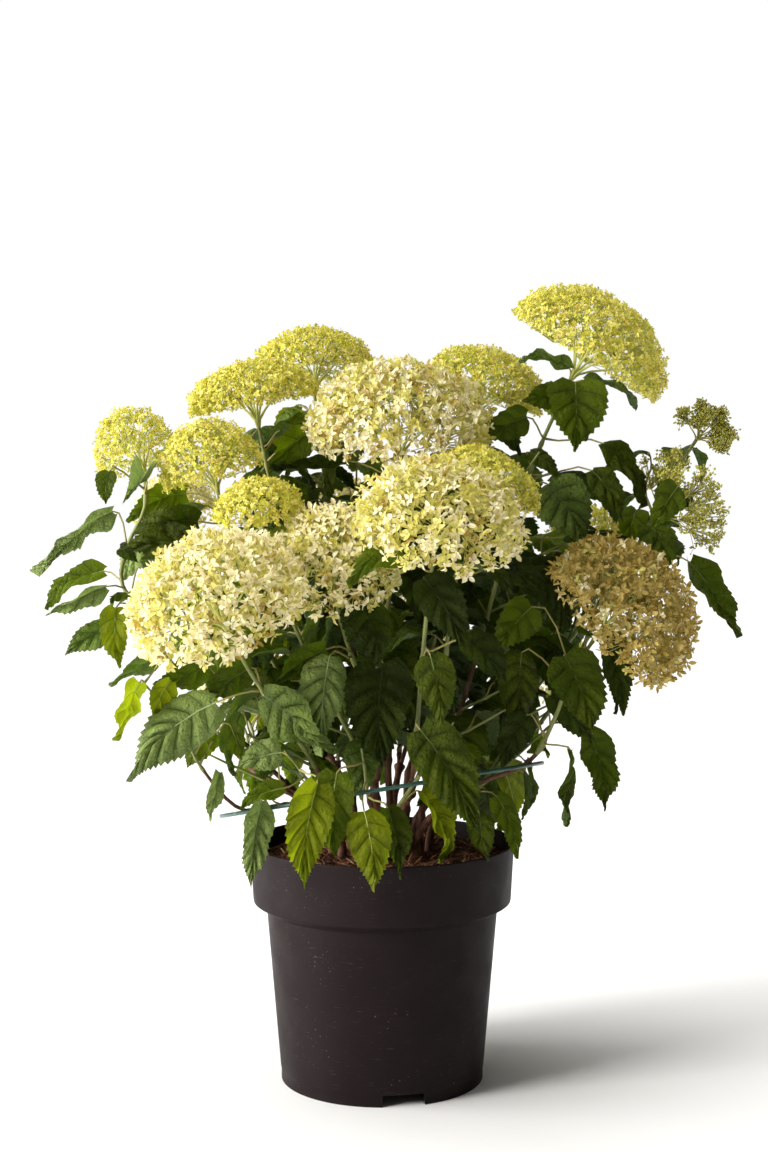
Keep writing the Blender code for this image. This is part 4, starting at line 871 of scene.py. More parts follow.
def blade_frame(blade, along):
    """At that share of the midrib: the midrib's direction, the blade's direction aside, and its normal."""
    pitch = blade.dip + (blade.curl - blade.dip) * along
    way = blade.heading * math.cos(pitch) + UP * math.sin(pitch)
    level = blade.heading.cross(UP)
    normal = level.cross(way)
    aside = level * math.cos(blade.roll) + normal * math.sin(blade.roll)
    return way, aside, aside.cross(way)


def blade_point(blade, along, aside, lift=0.0):
    """A point of the arched blade: along its midrib from 0 to 1, aside and lifted off it in metres."""
    steps = 6
    point = blade.base.copy()
    for step in range(steps):
        point += blade_frame(blade, along * (step + 0.5) / steps)[0] * (blade.length * along / steps)
    _, side, normal = blade_frame(blade, along)
    rise = abs(aside) * math.sin(blade.fold) + lift
    return point + side * (aside * math.cos(blade.fold)) + normal * rise


def leaf_shape(blade, swell=0.0):
    """A leaf and its petiole as one closed solid, swollen for a clearance test."""
    half = blade.width / 2
    thick = blade.length * LEAF_THICKNESS / 2 + swell
    stalk = PETIOLE_RADIUS + swell
    stalk_way = (blade.base - blade.root).normalized()
    blade_way, side, _ = blade_frame(blade, 0)
    way = (stalk_way * 2 + blade_way).normalized()
    aside = (side - way * side.dot(way)).normalized()
    above = aside.cross(way)
    around = ((above * 0.5 - aside) * stalk, (above * 0.5 + aside) * stalk, -above * stalk)
    corners = [point + out for point in (blade.root, blade.base) for out in around]
    for along, share in LEAF_OUTLINE:
        corners.append(blade_point(blade, along, -(share * half + swell)))
    corners.append(blade_point(blade, 1 + swell / blade.length, 0))
    for along, share in reversed(LEAF_OUTLINE):
        corners.append(blade_point(blade, along, share * half + swell))
    outline = [3, *range(6, len(corners)), 4]
    above, under = len(corners), len(corners) + 1
    corners.append(blade_point(blade, LEAF_MIDDLE, 0, thick))
    corners.append(blade_point(blade, LEAF_MIDDLE, 0, -thick))
    faces = [(0, 1, 2), (0, 3, 4, 1), (1, 4, 5, 2), (2, 5, 3, 0)]
    for first, second in zip(outline, outline[1:]):
        faces += [(first, second, above), (second, first, under)]
    faces += [(4, 3, above), (3, 5, under), (5, 4, under)]
    return corners, faces


def tree_of(shape):
    return BVHTree.FromPolygons([tuple(c) for c in shape[0]], shape[1])


def bounds_of(shape):
    return [(min(c[i] for c in shape[0]), max(c[i] for c in shape[0])) for i in range(3)]


class Obstacles:
    """What is there already: each entry says whose it is, and whether it is that shoot's stem."""

    def __init__(self):
        self.entries = []

    def add(self, shape, owner, is_stem=False):
        self.entries.append((bounds_of(shape), tree_of(shape), owner, is_stem))

    def hit(self, shape, skip_stem_of=None):
        """Whether the shape meets anything, apart from the stem that it grows on."""
        box = bounds_of(shape)
        tree = None
        for other_box, other_tree, owner, is_stem in self.entries:
            if is_stem and owner == skip_stem_of:
                continue
            if any(a[1] < b[0] or b[1] < a[0] for a, b in zip(box, other_box)):
                continue
            tree = tree or tree_of(shape)
            if tree.overlap(other_tree):
                return True
        return False


def along_path(points, distance, turn=0.0):
    """The point that far along the path, the path's direction there, and two vectors square to it."""
    frames = carried(points, turn)
    for index, (before, after) in enumerate(zip(points, points[1:])):
        step = (after - before).length
        if distance <= step or index == len(points) - 2:
            way = (after - before).normalized()
            aside = frames[index][1].lerp(frames[index + 1][1], min(1, distance / step))
            aside = (aside - way * aside.dot(way)).normalized()
            return before.lerp(after, min(1, distance / step)), way, aside, way.cross(aside)
        distance -= step


def path_length(points):
    return sum((b - a).length for a, b in zip(points, points[1:]))


def blade_at(shoot, place, turn, size, attempt, rng, stem_radius):
    """One leaf on the stem, in the direction turn about it. Each attempt strays further from the rule."""
    point, way, aside, other = place
    stray = 0.06 * attempt
    turn += rng.uniform(-stray, stray)
    out = aside * math.cos(turn) + other * math.sin(turn)
    petiole = rng.uniform(*PETIOLE_LENGTH) * size
    rise = (out * math.sin(PETIOLE_LEAN) + way * math.cos(PETIOLE_LEAN)).normalized()
    base = point + rise * petiole
    outward = Vector((point.x, point.y, 0)).normalized()
    heading = (Vector((rise.x, rise.y, 0)).normalized() + outward * 0.35).normalized()
    length = LEAF_LENGTH * size * shoot.leaf * rng.uniform(0.88, 1.1) * (1 - 0.03 * attempt)
    dip = rng.uniform(*LEAF_DIP) * shoot.droop + rng.uniform(-4, 4) * attempt
    curl = max(dip - rng.uniform(*LEAF_CURL) * shoot.droop, STEEPEST)
    return Blade(
        point + out * stem_radius * 0.45,
        base,
        heading,
        length,
        length * LEAF_WIDTH * rng.uniform(0.92, 1.05),
        math.radians(dip),
        math.radians(curl),
        math.radians(rng.uniform(*LEAF_ROLL)),
        math.radians(rng.uniform(*LEAF_FOLD)),
    )


def set_blade(leaf, path, shift, stray):
    """A leaf that is set by the ends of its blade. Its petiole runs down to the nearest point of its stem."""
    base, tip = Vector(leaf.base) + shift, Vector(leaf.tip) + shift
    chord = tip - base
    flat = Vector((chord.x, chord.y, 0))
    pitch = math.atan2(chord.z, flat.length)
    half = math.radians(leaf.bend) / 2
    level = flat.normalized().cross(UP)
    normal = level.cross(chord.normalized())
    facing = math.atan2(level.y, -normal.y)
    total = path_length(path)
    places = [along_path(path, total * step / 60) for step in range(60)]
    point = min(places, key=lambda p: (base - p[0]).length - 0.35 * (base - p[0]).dot(p[1]))[0]
    out = (base - point).normalized()
    return Blade(
        point + out * SHOOT_RADIUS * 0.3,
        base,
        flat.normalized(),
        chord.length * half / math.sin(half),
        leaf.width,
        pitch + half,
        pitch - half,
        facing + math.radians(leaf.turn + stray),
        math.radians(10),
    )


def set_leaf(leaf, shoot, path, obstacles):
    """The set leaf, moved back or forward and turned by the least that clears everything, or None."""
    for shift in SET_SHIFTS:
        for stray in SET_TURNS:
            blade = set_blade(leaf, path, Vector((0, shift / 1000, 0)), stray)
            petiole = (blade.base - blade.root).length
            if petiole > SHORTEST_PETIOLE and fits(blade, shoot, obstacles):
                return blade
    return None


def crown_reach(height):
    """How far from the axis leaves may reach at that height."""
    for (low, near), (high, far) in zip(CROWN_REACH, CROWN_REACH[1:]):
        if height < high:
            return near + (far - near) * max(0, height - low) / (high - low)
    return CROWN_REACH[-1][1]


def in_crown(points):
    if any(p.y < FRONT_REACH and p.z < FRONT_TOP for p in points):
        return False
    return all(p.z > LOWEST_LEAF and math.hypot(p.x, p.y) < crown_reach(p.z) for p in points)


def fits(blade, shoot, obstacles):
    swollen = leaf_shape(blade, CLEARANCE)
    if obstacles.hit(swollen, skip_stem_of=shoot.name):
        return False
    # The blade itself, without its petiole, also has to clear the stem that it grows on.
    petiole_way = (blade.base - blade.root).normalized()
    free = blade._replace(root=blade.base - petiole_way * 0.004)
    return not obstacles.hit(leaf_shape(free, CLEARANCE))


def twig_path(place, turn, reach, outwards, upwards):
    """A twig that leaves the stem at that place, in the direction turn about it, and bends out and up."""
    point, way, aside, other = place
    out = aside * math.cos(turn) + other * math.sin(turn)
    leave = (out + way * 0.75).normalized()
    outward = Vector((point.x, point.y, 0)).normalized()
    end = point + (leave + outward * outwards + UP * upwards).normalized() * reach
    root = point + out * SHOOT_RADIUS * 0.3
    return bezier(root, leave, end, (UP * 0.6 + outward + leave * 0.5).normalized(), 2)


def twig_fits(shoot, path, obstacles):
    """Whether there is room for the twig. One that fits stands in the way of what comes after it."""
    room = twig_shape(path, swell=CLEARANCE)
    if not in_crown(path) or obstacles.hit(room, skip_stem_of=shoot.name):
        return False
    obstacles.add(twig_shape(path, shoot.phase), shoot.name, is_stem=True)
    return True


def twigs_of(shoot, points, obstacles):
    """Side twigs from the lower part of the stem."""
    length = path_length(points)
    count = int((length - TWIG_FIRST) / TWIG_SPACING)
    twigs = []
    for index in range(count):
        rng = random.Random(f"{shoot.name} twig {index}")
        place = along_path(points, TWIG_FIRST + TWIG_SPACING * index, math.radians(shoot.phase))
        for attempt in range(TWIG_TRIES):
            turn = TURN / 4 * (index + attempt) + rng.uniform(-0.1, 0.1)
            path = twig_path(place, turn, rng.uniform(*TWIG_LENGTH), 0.5, 0.25)
            if twig_fits(shoot, path, obstacles):
                twigs.append(path)
                break
    return twigs


def grow_pair(shoot, path, radius, distance, pair, size, label, obstacles):
    """An opposite pair of leaves, each square to the pair before it."""
    place = along_path(path, distance, math.radians(shoot.phase))
    grown = []
    for side in range(2):
        rng = random.Random(f"{shoot.name} {label} {pair} {side}")
        turn = TURN / 4 * pair + TURN / 2 * side
        for attempt in range(LEAF_TRIES):
            blade = blade_at(shoot, place, turn, size, attempt, rng, radius)
            if in_crown(leaf_shape(blade)[0]) and fits(blade, shoot, obstacles):
                grown.append(blade)
                obstacles.add(leaf_shape(blade), shoot.name)
                break
    return grown


def leaf_rounds(shoot, points, twigs):
    """Where the pairs stand, the upper and outer ones first: (path, radius, distance, pair, size, label)."""
    length = path_length(points)
    last = LAST_PAIR if shoot.head.kind != "leafy" else 0.004
    pairs = max(1, int((length - FIRST_PAIR - last) / PAIR_SPACING) + 1)
    spacing = (length - FIRST_PAIR - last) / max(1, pairs - 1)
    places = []
    for pair in range(pairs):
        size = 1.0 - 0.30 * (pair / max(1, pairs - 1)) ** 2
        places.append((points, SHOOT_RADIUS, FIRST_PAIR + spacing * pair, pair, size, "stem"))
    places.reverse()
    for index, twig in enumerate(twigs):
        twig_length = path_length(twig)
        places.append((twig, TWIG_RADIUS, twig_length - 0.003, 1, 0.75, f"twig {index}"))
        places.append((twig, TWIG_RADIUS, twig_length * 0.5, 0, 0.85, f"twig {index}"))
    return places


def grow():
    """{shoot name: (stem points, twigs, leaves)}, and what stands in the way of more."""
    obstacles = Obstacles()
    obstacles.add(turned(pot_profile(), POT_SEGMENTS), "pot")
    obstacles.add(mulch_shape(), "mulch")
    obstacles.add(hoop_shape(), "hoop")
    for cane in CANES:
        obstacles.add(cane_shape(cane), cane.name)
    stems = {shoot.name: stem_points(shoot) for shoot in SHOOTS}
    for shoot in SHOOTS:
        obstacles.add(stem_shape(stems[shoot.name], shoot.phase), shoot.name, is_stem=True)
        for shape in bloom_shapes(shoot.head):
            obstacles.add(shape, shoot.name)
    leaves = {shoot.name: [] for shoot in SHOOTS}
    for leaf in SET_LEAVES:
        shoot = next(s for s in SHOOTS if s.name == leaf.shoot)
        blade = set_leaf(leaf, shoot, stems[shoot.name], obstacles)
        if blade:
            leaves[shoot.name].append(blade)
            obstacles.add(leaf_shape(blade), shoot.name)
    twigs = {shoot.name: twigs_of(shoot, stems[shoot.name], obstacles) for shoot in SHOOTS}
    places = {shoot.name: leaf_rounds(shoot, stems[shoot.name], twigs[shoot.name]) for shoot in SHOOTS}
    for turn in range(max(len(p) for p in places.values())):
        for shoot in SHOOTS:
            if turn < len(places[shoot.name]):
                leaves[shoot.name] += grow_pair(shoot, *places[shoot.name][turn], obstacles)
    return {s.name: (stems[s.name], twigs[s.name], leaves[s.name]) for s in SHOOTS}, obstacles


# ---- Meshes for the looks ----


def linked(name, data, place=(0, 0, 0)):
    """A new object in the scene."""
    made = bpy.data.objects.new(name, data)
    made.location = place
    bpy.context.scene.collection.objects.link(made)
    return made


class Sheaf:
    """Corners and faces gathered for one joined piece, with a finish for each face."""

    def __init__(self):
        self.corners = []
        self.faces = []
        self.finishes = []
        self.count = 0

    def add(self, corners, faces, finish=0):
        corners = np.asarray(corners, dtype=float).reshape(-1, 3)
        self.corners.append(corners)
        self.add_faces(faces, self.count, finish)
        self.count += len(corners)

    def add_faces(self, faces, start, finish=0):
        """Faces on corners that are there already, counted from start."""
        self.faces.append(np.asarray(faces, dtype=np.int64) + start)
        self.finishes.append(np.full(len(faces), finish))

    def piece(self, name, finishes, slot, nodes, smooth=True):
        """The piece itself, which rides on the root and stands for those nodes."""
        corners = np.concatenate(self.corners)
        loops = np.concatenate([f.ravel() for f in self.faces])
        sizes = np.concatenate([np.full(len(f), f.shape[1]) for f in self.faces])
        starts = np.concatenate(([0], np.cumsum(sizes)[:-1]))
        mesh = bpy.data.meshes.new(name)
        mesh.vertices.add(len(corners))
        mesh.vertices.foreach_set("co", corners.ravel())
        mesh.loops.add(len(loops))
        mesh.loops.foreach_set("vertex_index", loops)
        mesh.polygons.add(len(sizes))
        mesh.polygons.foreach_set("loop_start", starts)
        mesh.polygons.foreach_set("material_index", np.concatenate(self.finishes))
        mesh.polygons.foreach_set("use_smooth", np.full(len(sizes), smooth))
        mesh.update(calc_edges=True)
        mesh.validate()
        for finish in finishes:
            mesh.materials.append(finish)
        made = linked(name, mesh)
        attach(made, "root")
        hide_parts(*nodes)


def limb(points, radii, sides, turn=0.0):
    """A smooth tapering tube with pointed ends: (corners, quads, end triangles)."""
    rings = []
    angles = TURN * np.arange(sides) / sides
    for point, radius, (_, aside, other) in zip(points, radii, carried(points, turn)):
        ring = np.outer(np.cos(angles), aside) + np.outer(np.sin(angles), other)
        rings.append(np.array(point) + ring * np.reshape(radius, (-1, 1)))
    corners = np.concatenate([*rings, [points[0]], [points[-1]]])
    rows = np.arange(len(points) - 1)[:, None] * sides
    side = np.arange(sides)[None, :]
    after = (side + 1) % sides
    above = rows + sides
    quads = np.stack((rows + side, rows + after, above + after, above + side), -1).reshape(-1, 4)
    last = (len(points) - 1) * sides
    count = len(points) * sides
    begin = [(count, (s + 1) % sides, s) for s in range(sides)]
    end = [(count + 1, last + s, last + (s + 1) % sides) for s in range(sides)]
    return corners, quads, begin + end


def add_limb(sheaf, points, radii, sides, finish=0, turn=0.0):
    corners, quads, ends = limb(points, radii, sides, turn)
    start = sheaf.count
    sheaf.add(corners, quads, finish)
    sheaf.add_faces(ends, start, finish)


def rods(starts, ends, first, last):
    """Many thin three-sided rods at once, open at their hidden ends."""
    starts, ends = np.asarray(starts), np.asarray(ends)
    ways = ends - starts
    ways /= np.linalg.norm(ways, axis=1, keepdims=True) + 1e-9
    helper = np.where(np.abs(ways[:, 2:3]) < 0.9, (0.0, 0.0, 1.0), (0.0, 1.0, 0.0))
    aside = np.cross(ways, helper)
    aside /= np.linalg.norm(aside, axis=1, keepdims=True)
    other = np.cross(ways, aside)
    corners = []
    for place, radius in ((starts, first), (ends, last)):
        for side in range(3):
            angle = TURN * side / 3
            corners.append(place + (aside * math.cos(angle) + other * math.sin(angle)) * radius)
    corners = np.stack(corners, 1)
    pattern = np.array([(s, (s + 1) % 3, 3 + (s + 1) % 3, 3 + s) for s in range(3)])
    faces = (np.arange(len(starts))[:, None, None] * 6 + pattern[None]).reshape(-1, 4)
    return corners.reshape(-1, 3), faces


def smooth_path(points, distances):
    """Points at those distances on the smooth curve through these points."""
    places = np.array([tuple(p) for p in points])
    along = np.concatenate(([0], np.cumsum(np.linalg.norm(np.diff(places, axis=0), axis=1))))
    slopes = np.empty_like(places)
    slopes[1:-1] = (places[2:] - places[:-2]) / (along[2:] - along[:-2])[:, None]
    slopes[0] = (places[1] - places[0]) / (along[1] - along[0])
    slopes[-1] = (places[-1] - places[-2]) / (along[-1] - along[-2])
    found = []
    for distance in distances:
        index = int(np.clip(np.searchsorted(along, distance) - 1, 0, len(along) - 2))
        step = along[index + 1] - along[index]
        t = (distance - along[index]) / step
        low, high = places[index], places[index + 1]
        point = (2 * t**3 - 3 * t**2 + 1) * low + (t**3 - 2 * t**2 + t) * step * slopes[index]
        point = point + (3 * t**2 - 2 * t**3) * high + (t**3 - t**2) * step * slopes[index + 1]
        found.append(Vector(point))
    return found


# ---- Finishes ----


def begin_finish(name, roughness, specular):
    """A new material: (material, its node tree, its shader)."""
    made = bpy.data.materials.new(name)
    made.use_nodes = True
    tree = made.node_tree
    shader = tree.nodes["Principled BSDF"]
    shader.inputs["Roughness"].default_value = roughness
    shader.inputs["Specular IOR Level"].default_value = specular
    return made, tree, shader


def noise_of(tree, scale, detail=3.0, stretch=None, kind="ShaderNodeTexNoise", output="Fac"):
    """A procedural texture in the object's own metres, noise unless it is said otherwise."""
    where = tree.nodes.new("ShaderNodeTexCoord").outputs["Object"]
    if stretch:
        mapping = tree.nodes.new("ShaderNodeMapping")
        mapping.inputs["Scale"].default_value = stretch
        tree.links.new(where, mapping.inputs["Vector"])
        where = mapping.outputs["Vector"]
    made = tree.nodes.new(kind)
    made.inputs["Scale"].default_value = scale
    if "Detail" in made.inputs:
        made.inputs["Detail"].default_value = detail
    tree.links.new(where, made.inputs["Vector"])
    return made.outputs[output]


def ramp(tree, factor, *stops):
    """Colours at those places of the factor: stops are (place, colour)."""
    made = tree.nodes.new("ShaderNodeValToRGB")
    elements = made.color_ramp.elements
    while len(elements) < len(stops):
        elements.new(0.5)
    for element, (place, colour) in zip(elements, stops):
        element.position = place
        element.color = (*colour, 1)
    tree.links.new(factor, made.inputs["Fac"])
    return made.outputs["Color"]


def grey(level):
    return (level,) * 3


def mixed(tree, factor, first, second, blend="MIX"):
    """Two colours mixed by the factor. Each may be a value or another node's output."""
    made = tree.nodes.new("ShaderNodeMix")
    made.data_type = "RGBA"
    made.blend_type = blend
    for socket, value in zip((made.inputs[0], made.inputs[6], made.inputs[7]), (factor, first, second)):
        if isinstance(value, bpy.types.NodeSocket):
            tree.links.new(value, socket)
        else:
            socket.default_value = value if isinstance(value, float) else (*value, 1)
    return made.outputs[2]


def relief(tree, shader, *layers):
    """Bump from layers of (height, strength, distance in metres)."""
    normal = None
    for height, strength, distance in layers:
        made = tree.nodes.new("ShaderNodeBump")
        made.inputs["Strength"].default_value = strength
        made.inputs["Distance"].default_value = distance
        tree.links.new(height, made.inputs["Height"])
        if normal:
            tree.links.new(normal, made.inputs["Normal"])
        normal = made.outputs["Normal"]
    tree.links.new(normal, shader.inputs["Normal"])


def let_light_through(tree, shader, colour, share):
    """Light from behind shows through in that colour."""
    glow = tree.nodes.new("ShaderNodeBsdfTranslucent")
    glow.inputs["Color"].default_value = (*colour, 1)
    both = tree.nodes.new("ShaderNodeMixShader")
    both.inputs[0].default_value = share
    tree.links.new(shader.outputs[0], both.inputs[1])
    tree.links.new(glow.outputs[0], both.inputs[2])
    out = next(n for n in tree.nodes if n.type == "OUTPUT_MATERIAL")
    tree.links.new(both.outputs[0], out.inputs["Surface"])


def leaf_finish(name, dark, light, under, glow, roughness, gloss=0.24, share=0.18):
    """A leaf blade: blotchy green above, paler and duller below, with a fine net of raised cells; its colour
    carries painted shade in the grooves and hollows and a painted highlight on the swellings.
    """
    made, tree, shader = begin_finish(name, roughness, gloss)
    blotches = noise_of(tree, 28, 4)
    top = ramp(tree, blotches, (0.32, dark), (0.68, light))
    cells = noise_of(tree, 230, kind="ShaderNodeTexVoronoi", output="Distance")
    # Painted shade along the net: the colour is darker where the cells' grooves run and lighter in their
    # raised middles.
    top = mixed(tree, 1.0, top, ramp(tree, cells, (0.10, grey(1.15)), (0.70, grey(0.50))), "MULTIPLY")
    # Painted shade and light: by the surface's pointiness the colour is darkened in hollows and creases and
    # lightened on the swellings.
    geometry = tree.nodes.new("ShaderNodeNewGeometry")
    painted_relief_shade = ramp(
        tree, geometry.outputs["Pointiness"], (0.43, grey(0.50)), (0.50, grey(0.95)), (0.57, grey(1.45))
    )
    top = mixed(tree, 1.0, top, painted_relief_shade, "MULTIPLY")
    tree.links.new(mixed(tree, geometry.outputs["Backfacing"], top, under), shader.inputs["Base Color"])
    relief(tree, shader, (cells, 1.0, -0.0026), (noise_of(tree, 110, 3), 0.8, 0.0036))
    let_light_through(tree, shader, glow, share)
    return made


def stem_finish(name, dark, light):
    """A green stem or vein, streaked along its length."""
    made, tree, shader = begin_finish(name, 0.5, 0.4)
    streaks = noise_of(tree, 60, 4, stretch=(1, 1, 0.25))
    tree.links.new(ramp(tree, streaks, (0.3, dark), (0.7, light)), shader.inputs["Base Color"])
    relief(tree, shader, (noise_of(tree, 700, 2, stretch=(1, 1, 0.2)), 0.25, 0.0004))
    return made


def bark_finish(name, dark, light, pale):
    """Thin papery bark: brown, streaked, flaking in pale strips."""
    made, tree, shader = begin_finish(name, 0.75, 0.3)
    streaks = noise_of(tree, 170, 6, stretch=(1, 1, 0.16))
    colour = ramp(tree, streaks, (0.30, dark), (0.52, light), (0.74, pale))
    tree.links.new(colour, shader.inputs["Base Color"])
    fissures = noise_of(tree, 420, 5, stretch=(1, 1, 0.10))
    relief(tree, shader, (fissures, 0.8, 0.0010), (streaks, 0.5, 0.0012))
    return made


def petal_finish(name, dark, light, glow, share):
    """A sepal: two tints with a faint grain, and light that shows through."""
    made, tree, shader = begin_finish(name, 0.55, 0.3)
    tints = noise_of(tree, 90, 3)
    tree.links.new(ramp(tree, tints, (0.34, dark), (0.62, light)), shader.inputs["Base Color"])
    relief(tree, shader, (noise_of(tree, 900, 2, stretch=(1, 1, 0.4)), 0.2, 0.0003))
    let_light_through(tree, shader, glow, share)
    return made


# ---- Leaves ----



def blade_frames(blade, along):
    """Midrib points and the two vectors square to it, at each share of the midrib."""
    bend = blade.curl - blade.dip
    if abs(bend) < 1e-4:
        bend = 1e-4
    pitch = blade.dip + bend * along
    flat = (np.sin(pitch) - math.sin(blade.dip)) / bend * blade.length
    rise = (math.cos(blade.dip) - np.cos(pitch)) / bend * blade.length
    heading, up = np.array(blade.heading), np.array((0.0, 0.0, 1.0))
    points = np.array(blade.base) + flat[..., None] * heading + rise[..., None] * up
    ways = np.cos(pitch)[..., None] * heading + np.sin(pitch)[..., None] * up
    level = np.array(blade.heading.cross(UP))
    normal = np.cross(np.broadcast_to(level, ways.shape), ways)
    side = level * math.cos(blade.roll) + normal * math.sin(blade.roll)
    return points, side, np.cross(side, ways)


def leaf_rows(length):
    """Shares of the midrib where rows of corners leave it: at each side vein, beside it and between two."""
    veins = int(np.clip(round(length / VEIN_SPACING), 4, 8))
    shares = (np.arange(veins)[:, None] + np.array(VEIN_ROWS)).ravel() / veins
    even = np.linspace(0, 1, len(shares) + 1)
    return np.append(shares, 1.0) ** VEIN_CROWDING, even**VEIN_CROWDING


def leaf_relief(blade, rng, along, columns, steps, mid):
    """How far each corner of the blade stands above its flat: quilting, a wavy margin and an arch."""
    out = np.abs(columns)[None, :]
    quilt = QUILT_STEPS[steps % len(VEIN_ROWS)][:, None]
    swell = np.interp(out, *QUILT_SPREAD)
    swell = swell * np.sin(math.pi * np.clip(mid, 0.02, 0.98))[:, None] ** 0.5
    lift = QUILT * (quilt + 0.25) * swell - 0.008 * (out == 0)
    for wave in CRUMPLE_WAVES:
        phase, slant = rng.uniform(0, TURN), rng.uniform(-2.2, 2.2)
        ripple = np.sin(TURN * wave * along + slant * columns[None, :] + phase)
        lift = lift + CRUMPLE / wave * ripple * (out > 0)
    phase = rng.uniform(0, TURN)
    ripple = np.sin(TURN * rng.uniform(1.0, 2.4) * along + phase + 1.3 * columns[None, :])
    lift = lift + RUFFLE * ripple * out**1.5
    lift = lift - rng.uniform(*ARCH) * out**2
    lift = lift - rng.uniform(*HOOK) * np.clip(along - 0.55, 0, 1) ** 2
    return lift * blade.length


def add_leaf(sheaf, blade, rng, stem_path):
    """A toothed, quilted blade with its veins, midrib and petiole, grown from the smooth stem."""
    mid, even = leaf_rows(blade.length)
    steps = np.arange(len(mid))
    columns = np.concatenate((-LEAF_COLUMNS[:0:-1], LEAF_COLUMNS))
    out = np.abs(columns)[None, :]
    start = np.where(out == 1.0, even[:, None], mid[:, None])
    edge = 1 - (1 - start) ** LEAF_SWEEP - LOBE * (1 - start) ** 4
    share = np.interp(edge, *zip(*LEAF_MARGIN))
    tooth = np.array(TOOTH_TURNS)[steps % 2] * TOOTH * np.sin(math.pi * np.clip(mid, 0.02, 0.99)) ** 0.4
    tooth[-1] = 0
    tooth = np.where(out == 1.0, tooth[:, None] * np.minimum(1, share * 2), 0)
    along = start + (edge - start) * out**VEIN_BEND + 0.30 * tooth
    width = share * out + tooth
    aside = np.sign(columns)[None, :] * width * blade.width / 2
    points, side, normal = blade_frames(blade, along)
    lift = leaf_relief(blade, rng, along, columns, steps, mid)
    twist = rng.uniform(-TWIST, TWIST) * np.clip(along, 0, 1)[..., None]
    cosine, sine = np.cos(twist), np.sin(twist)
    side, normal = side * cosine + normal * sine, normal * cosine - side * sine
    sway = rng.uniform(-0.06, 0.06) * blade.length * along**2
    fold = blade.fold + rng.uniform(*FOLD) + (OUTER_FOLD if blade.base.x < OUTER_EDGE else 0)
    rise = np.abs(aside) * math.sin(fold) + lift
    corners = points + side * (aside * math.cos(fold) + sway)[..., None] + normal * rise[..., None]
    count = len(columns)
    row = np.arange(len(mid) - 1)[:, None] * count
    column = np.arange(count - 1)[None, :]
    start = row + column
    faces = np.stack((start, start + 1, start + count + 1, start + count), -1).reshape(-1, 4)
    # The strips beside each side vein take the vein finish, darker than the blade: painted shade in the
    # sunken grooves.
    beside = np.isin(steps[:-1] % len(VEIN_ROWS), (0, len(VEIN_ROWS) - 1))
    inner = (np.abs(columns[:-1]) < 0.9) & (np.abs(columns[1:]) < 0.9)
    finish = np.where(beside[:, None] & inner[None, :], VEIN_SHADE_FINISH, BLADE_FINISH).ravel()
    sheaf.add(corners.reshape(-1, 3), faces, finish)
    middle = corners[:, len(LEAF_COLUMNS) - 1]
    root = min(stem_path, key=lambda p: (p - blade.root).length)
    leave = (blade.root - root).normalized() if (blade.root - root).length > 1e-6 else blade.heading
    first = Vector(middle[0])
    start_way = (Vector(middle[1]) - first).normalized()
    leave = (leave + (first - root).normalized()).normalized()
    arc = bezier(root, leave, first, start_way, PETIOLE_STEPS, pull=0.3)
    rib = [Vector(middle[int((len(mid) - 1) * t)]) for t in RIB_STOPS]
    radii = [PETIOLE_RADIUS * 1.5, *[PETIOLE_RADIUS] * 3, *RIB_RADII]
    start = len(sheaf.finishes)
    add_limb(sheaf, [*arc, *rib], radii, RIB_SIDES, finish=PETIOLE_FINISH)
    sheaf.finishes[start][PETIOLE_STEPS * RIB_SIDES :] = RIB_FINISH


# ---- Florets ----



def floret_shape(kind, rng):
    """Four pointed sepals round a small bud, a unit across from middle to tip."""
    corners, triangles, quads = [], [], []
    for sepal in range(4):
        angle = TURN * sepal / 4 + rng.uniform(-0.22, 0.22)
        pitch = rng.uniform(-0.3, 1.1)
        bend = rng.uniform(-1.3, 0.6)
        length = rng.uniform(0.82, 1.12)
        turn = Matrix.Rotation(angle, 3, "Z")

        def place(along, aside, crease):
            tilt = pitch + bend * along
            lift = along * math.sin(tilt) * length
            return turn @ Vector((along * math.cos(tilt) * length, aside, lift + crease))

        start = len(corners)
        corners.append(place(0.06, 0, 0))
        if kind == "lime":
            half = SEPAL[kind][0][1]
            corners += [place(0.5, -half, SEPAL_CUP), place(1.0, 0, 0), place(0.5, half, SEPAL_CUP)]
            triangles += [(start, start + 1, start + 2), (start, start + 2, start + 3)]
            continue
        for along, half in SEPAL[kind]:
            twist = rng.uniform(-0.08, 0.08)
            corners.append(place(along, -half, SEPAL_CUP + twist))
            corners.append(place(along, 0, -SEPAL_CUP))
            corners.append(place(along, half, SEPAL_CUP - twist))
        tip = len(corners)
        corners.append(place(1.0, 0, 0.02))
        triangles += [(start, start + 1, start + 2), (start, start + 2, start + 3)]
        quads += [(start + 1, start + 4, start + 5, start + 2), (start + 2, start + 5, start + 6, start + 3)]
        triangles += [(tip - 3, tip, tip - 2), (tip - 2, tip, tip - 1)]
    middle = len(corners)
    reach, height = FLORET_BUD
    corners.append(Vector((0, 0, height)))
    for side in range(3):
        angle = TURN * side / 3
        corners.append(Vector((reach * math.cos(angle), reach * math.sin(angle), 0.02)))
    triangles += [(middle, middle + 1 + s, middle + 1 + (s + 1) % 3) for s in range(3)]
    return np.array([tuple(c) for c in corners]), triangles, quads


def bud_shape():
    """A tiny closed bud."""
    return np.array((*EIGHT_SIDED, (0, 0, 1.25), (0, 0, -0.9)), dtype=float), EIGHT_FACES, []


def frames_on(normals, spins):
    """Turning matrices that carry +Z onto each normal, spun about it."""
    helper = np.where(np.abs(normals[:, 2:3]) < 0.9, (0.0, 0.0, 1.0), (1.0, 0.0, 0.0))
    aside = np.cross(helper, normals)
    aside /= np.linalg.norm(aside, axis=1, keepdims=True)
    other = np.cross(normals, aside)
    first = aside * np.cos(spins)[:, None] + other * np.sin(spins)[:, None]
    return np.stack((first, np.cross(normals, first), normals), -1)


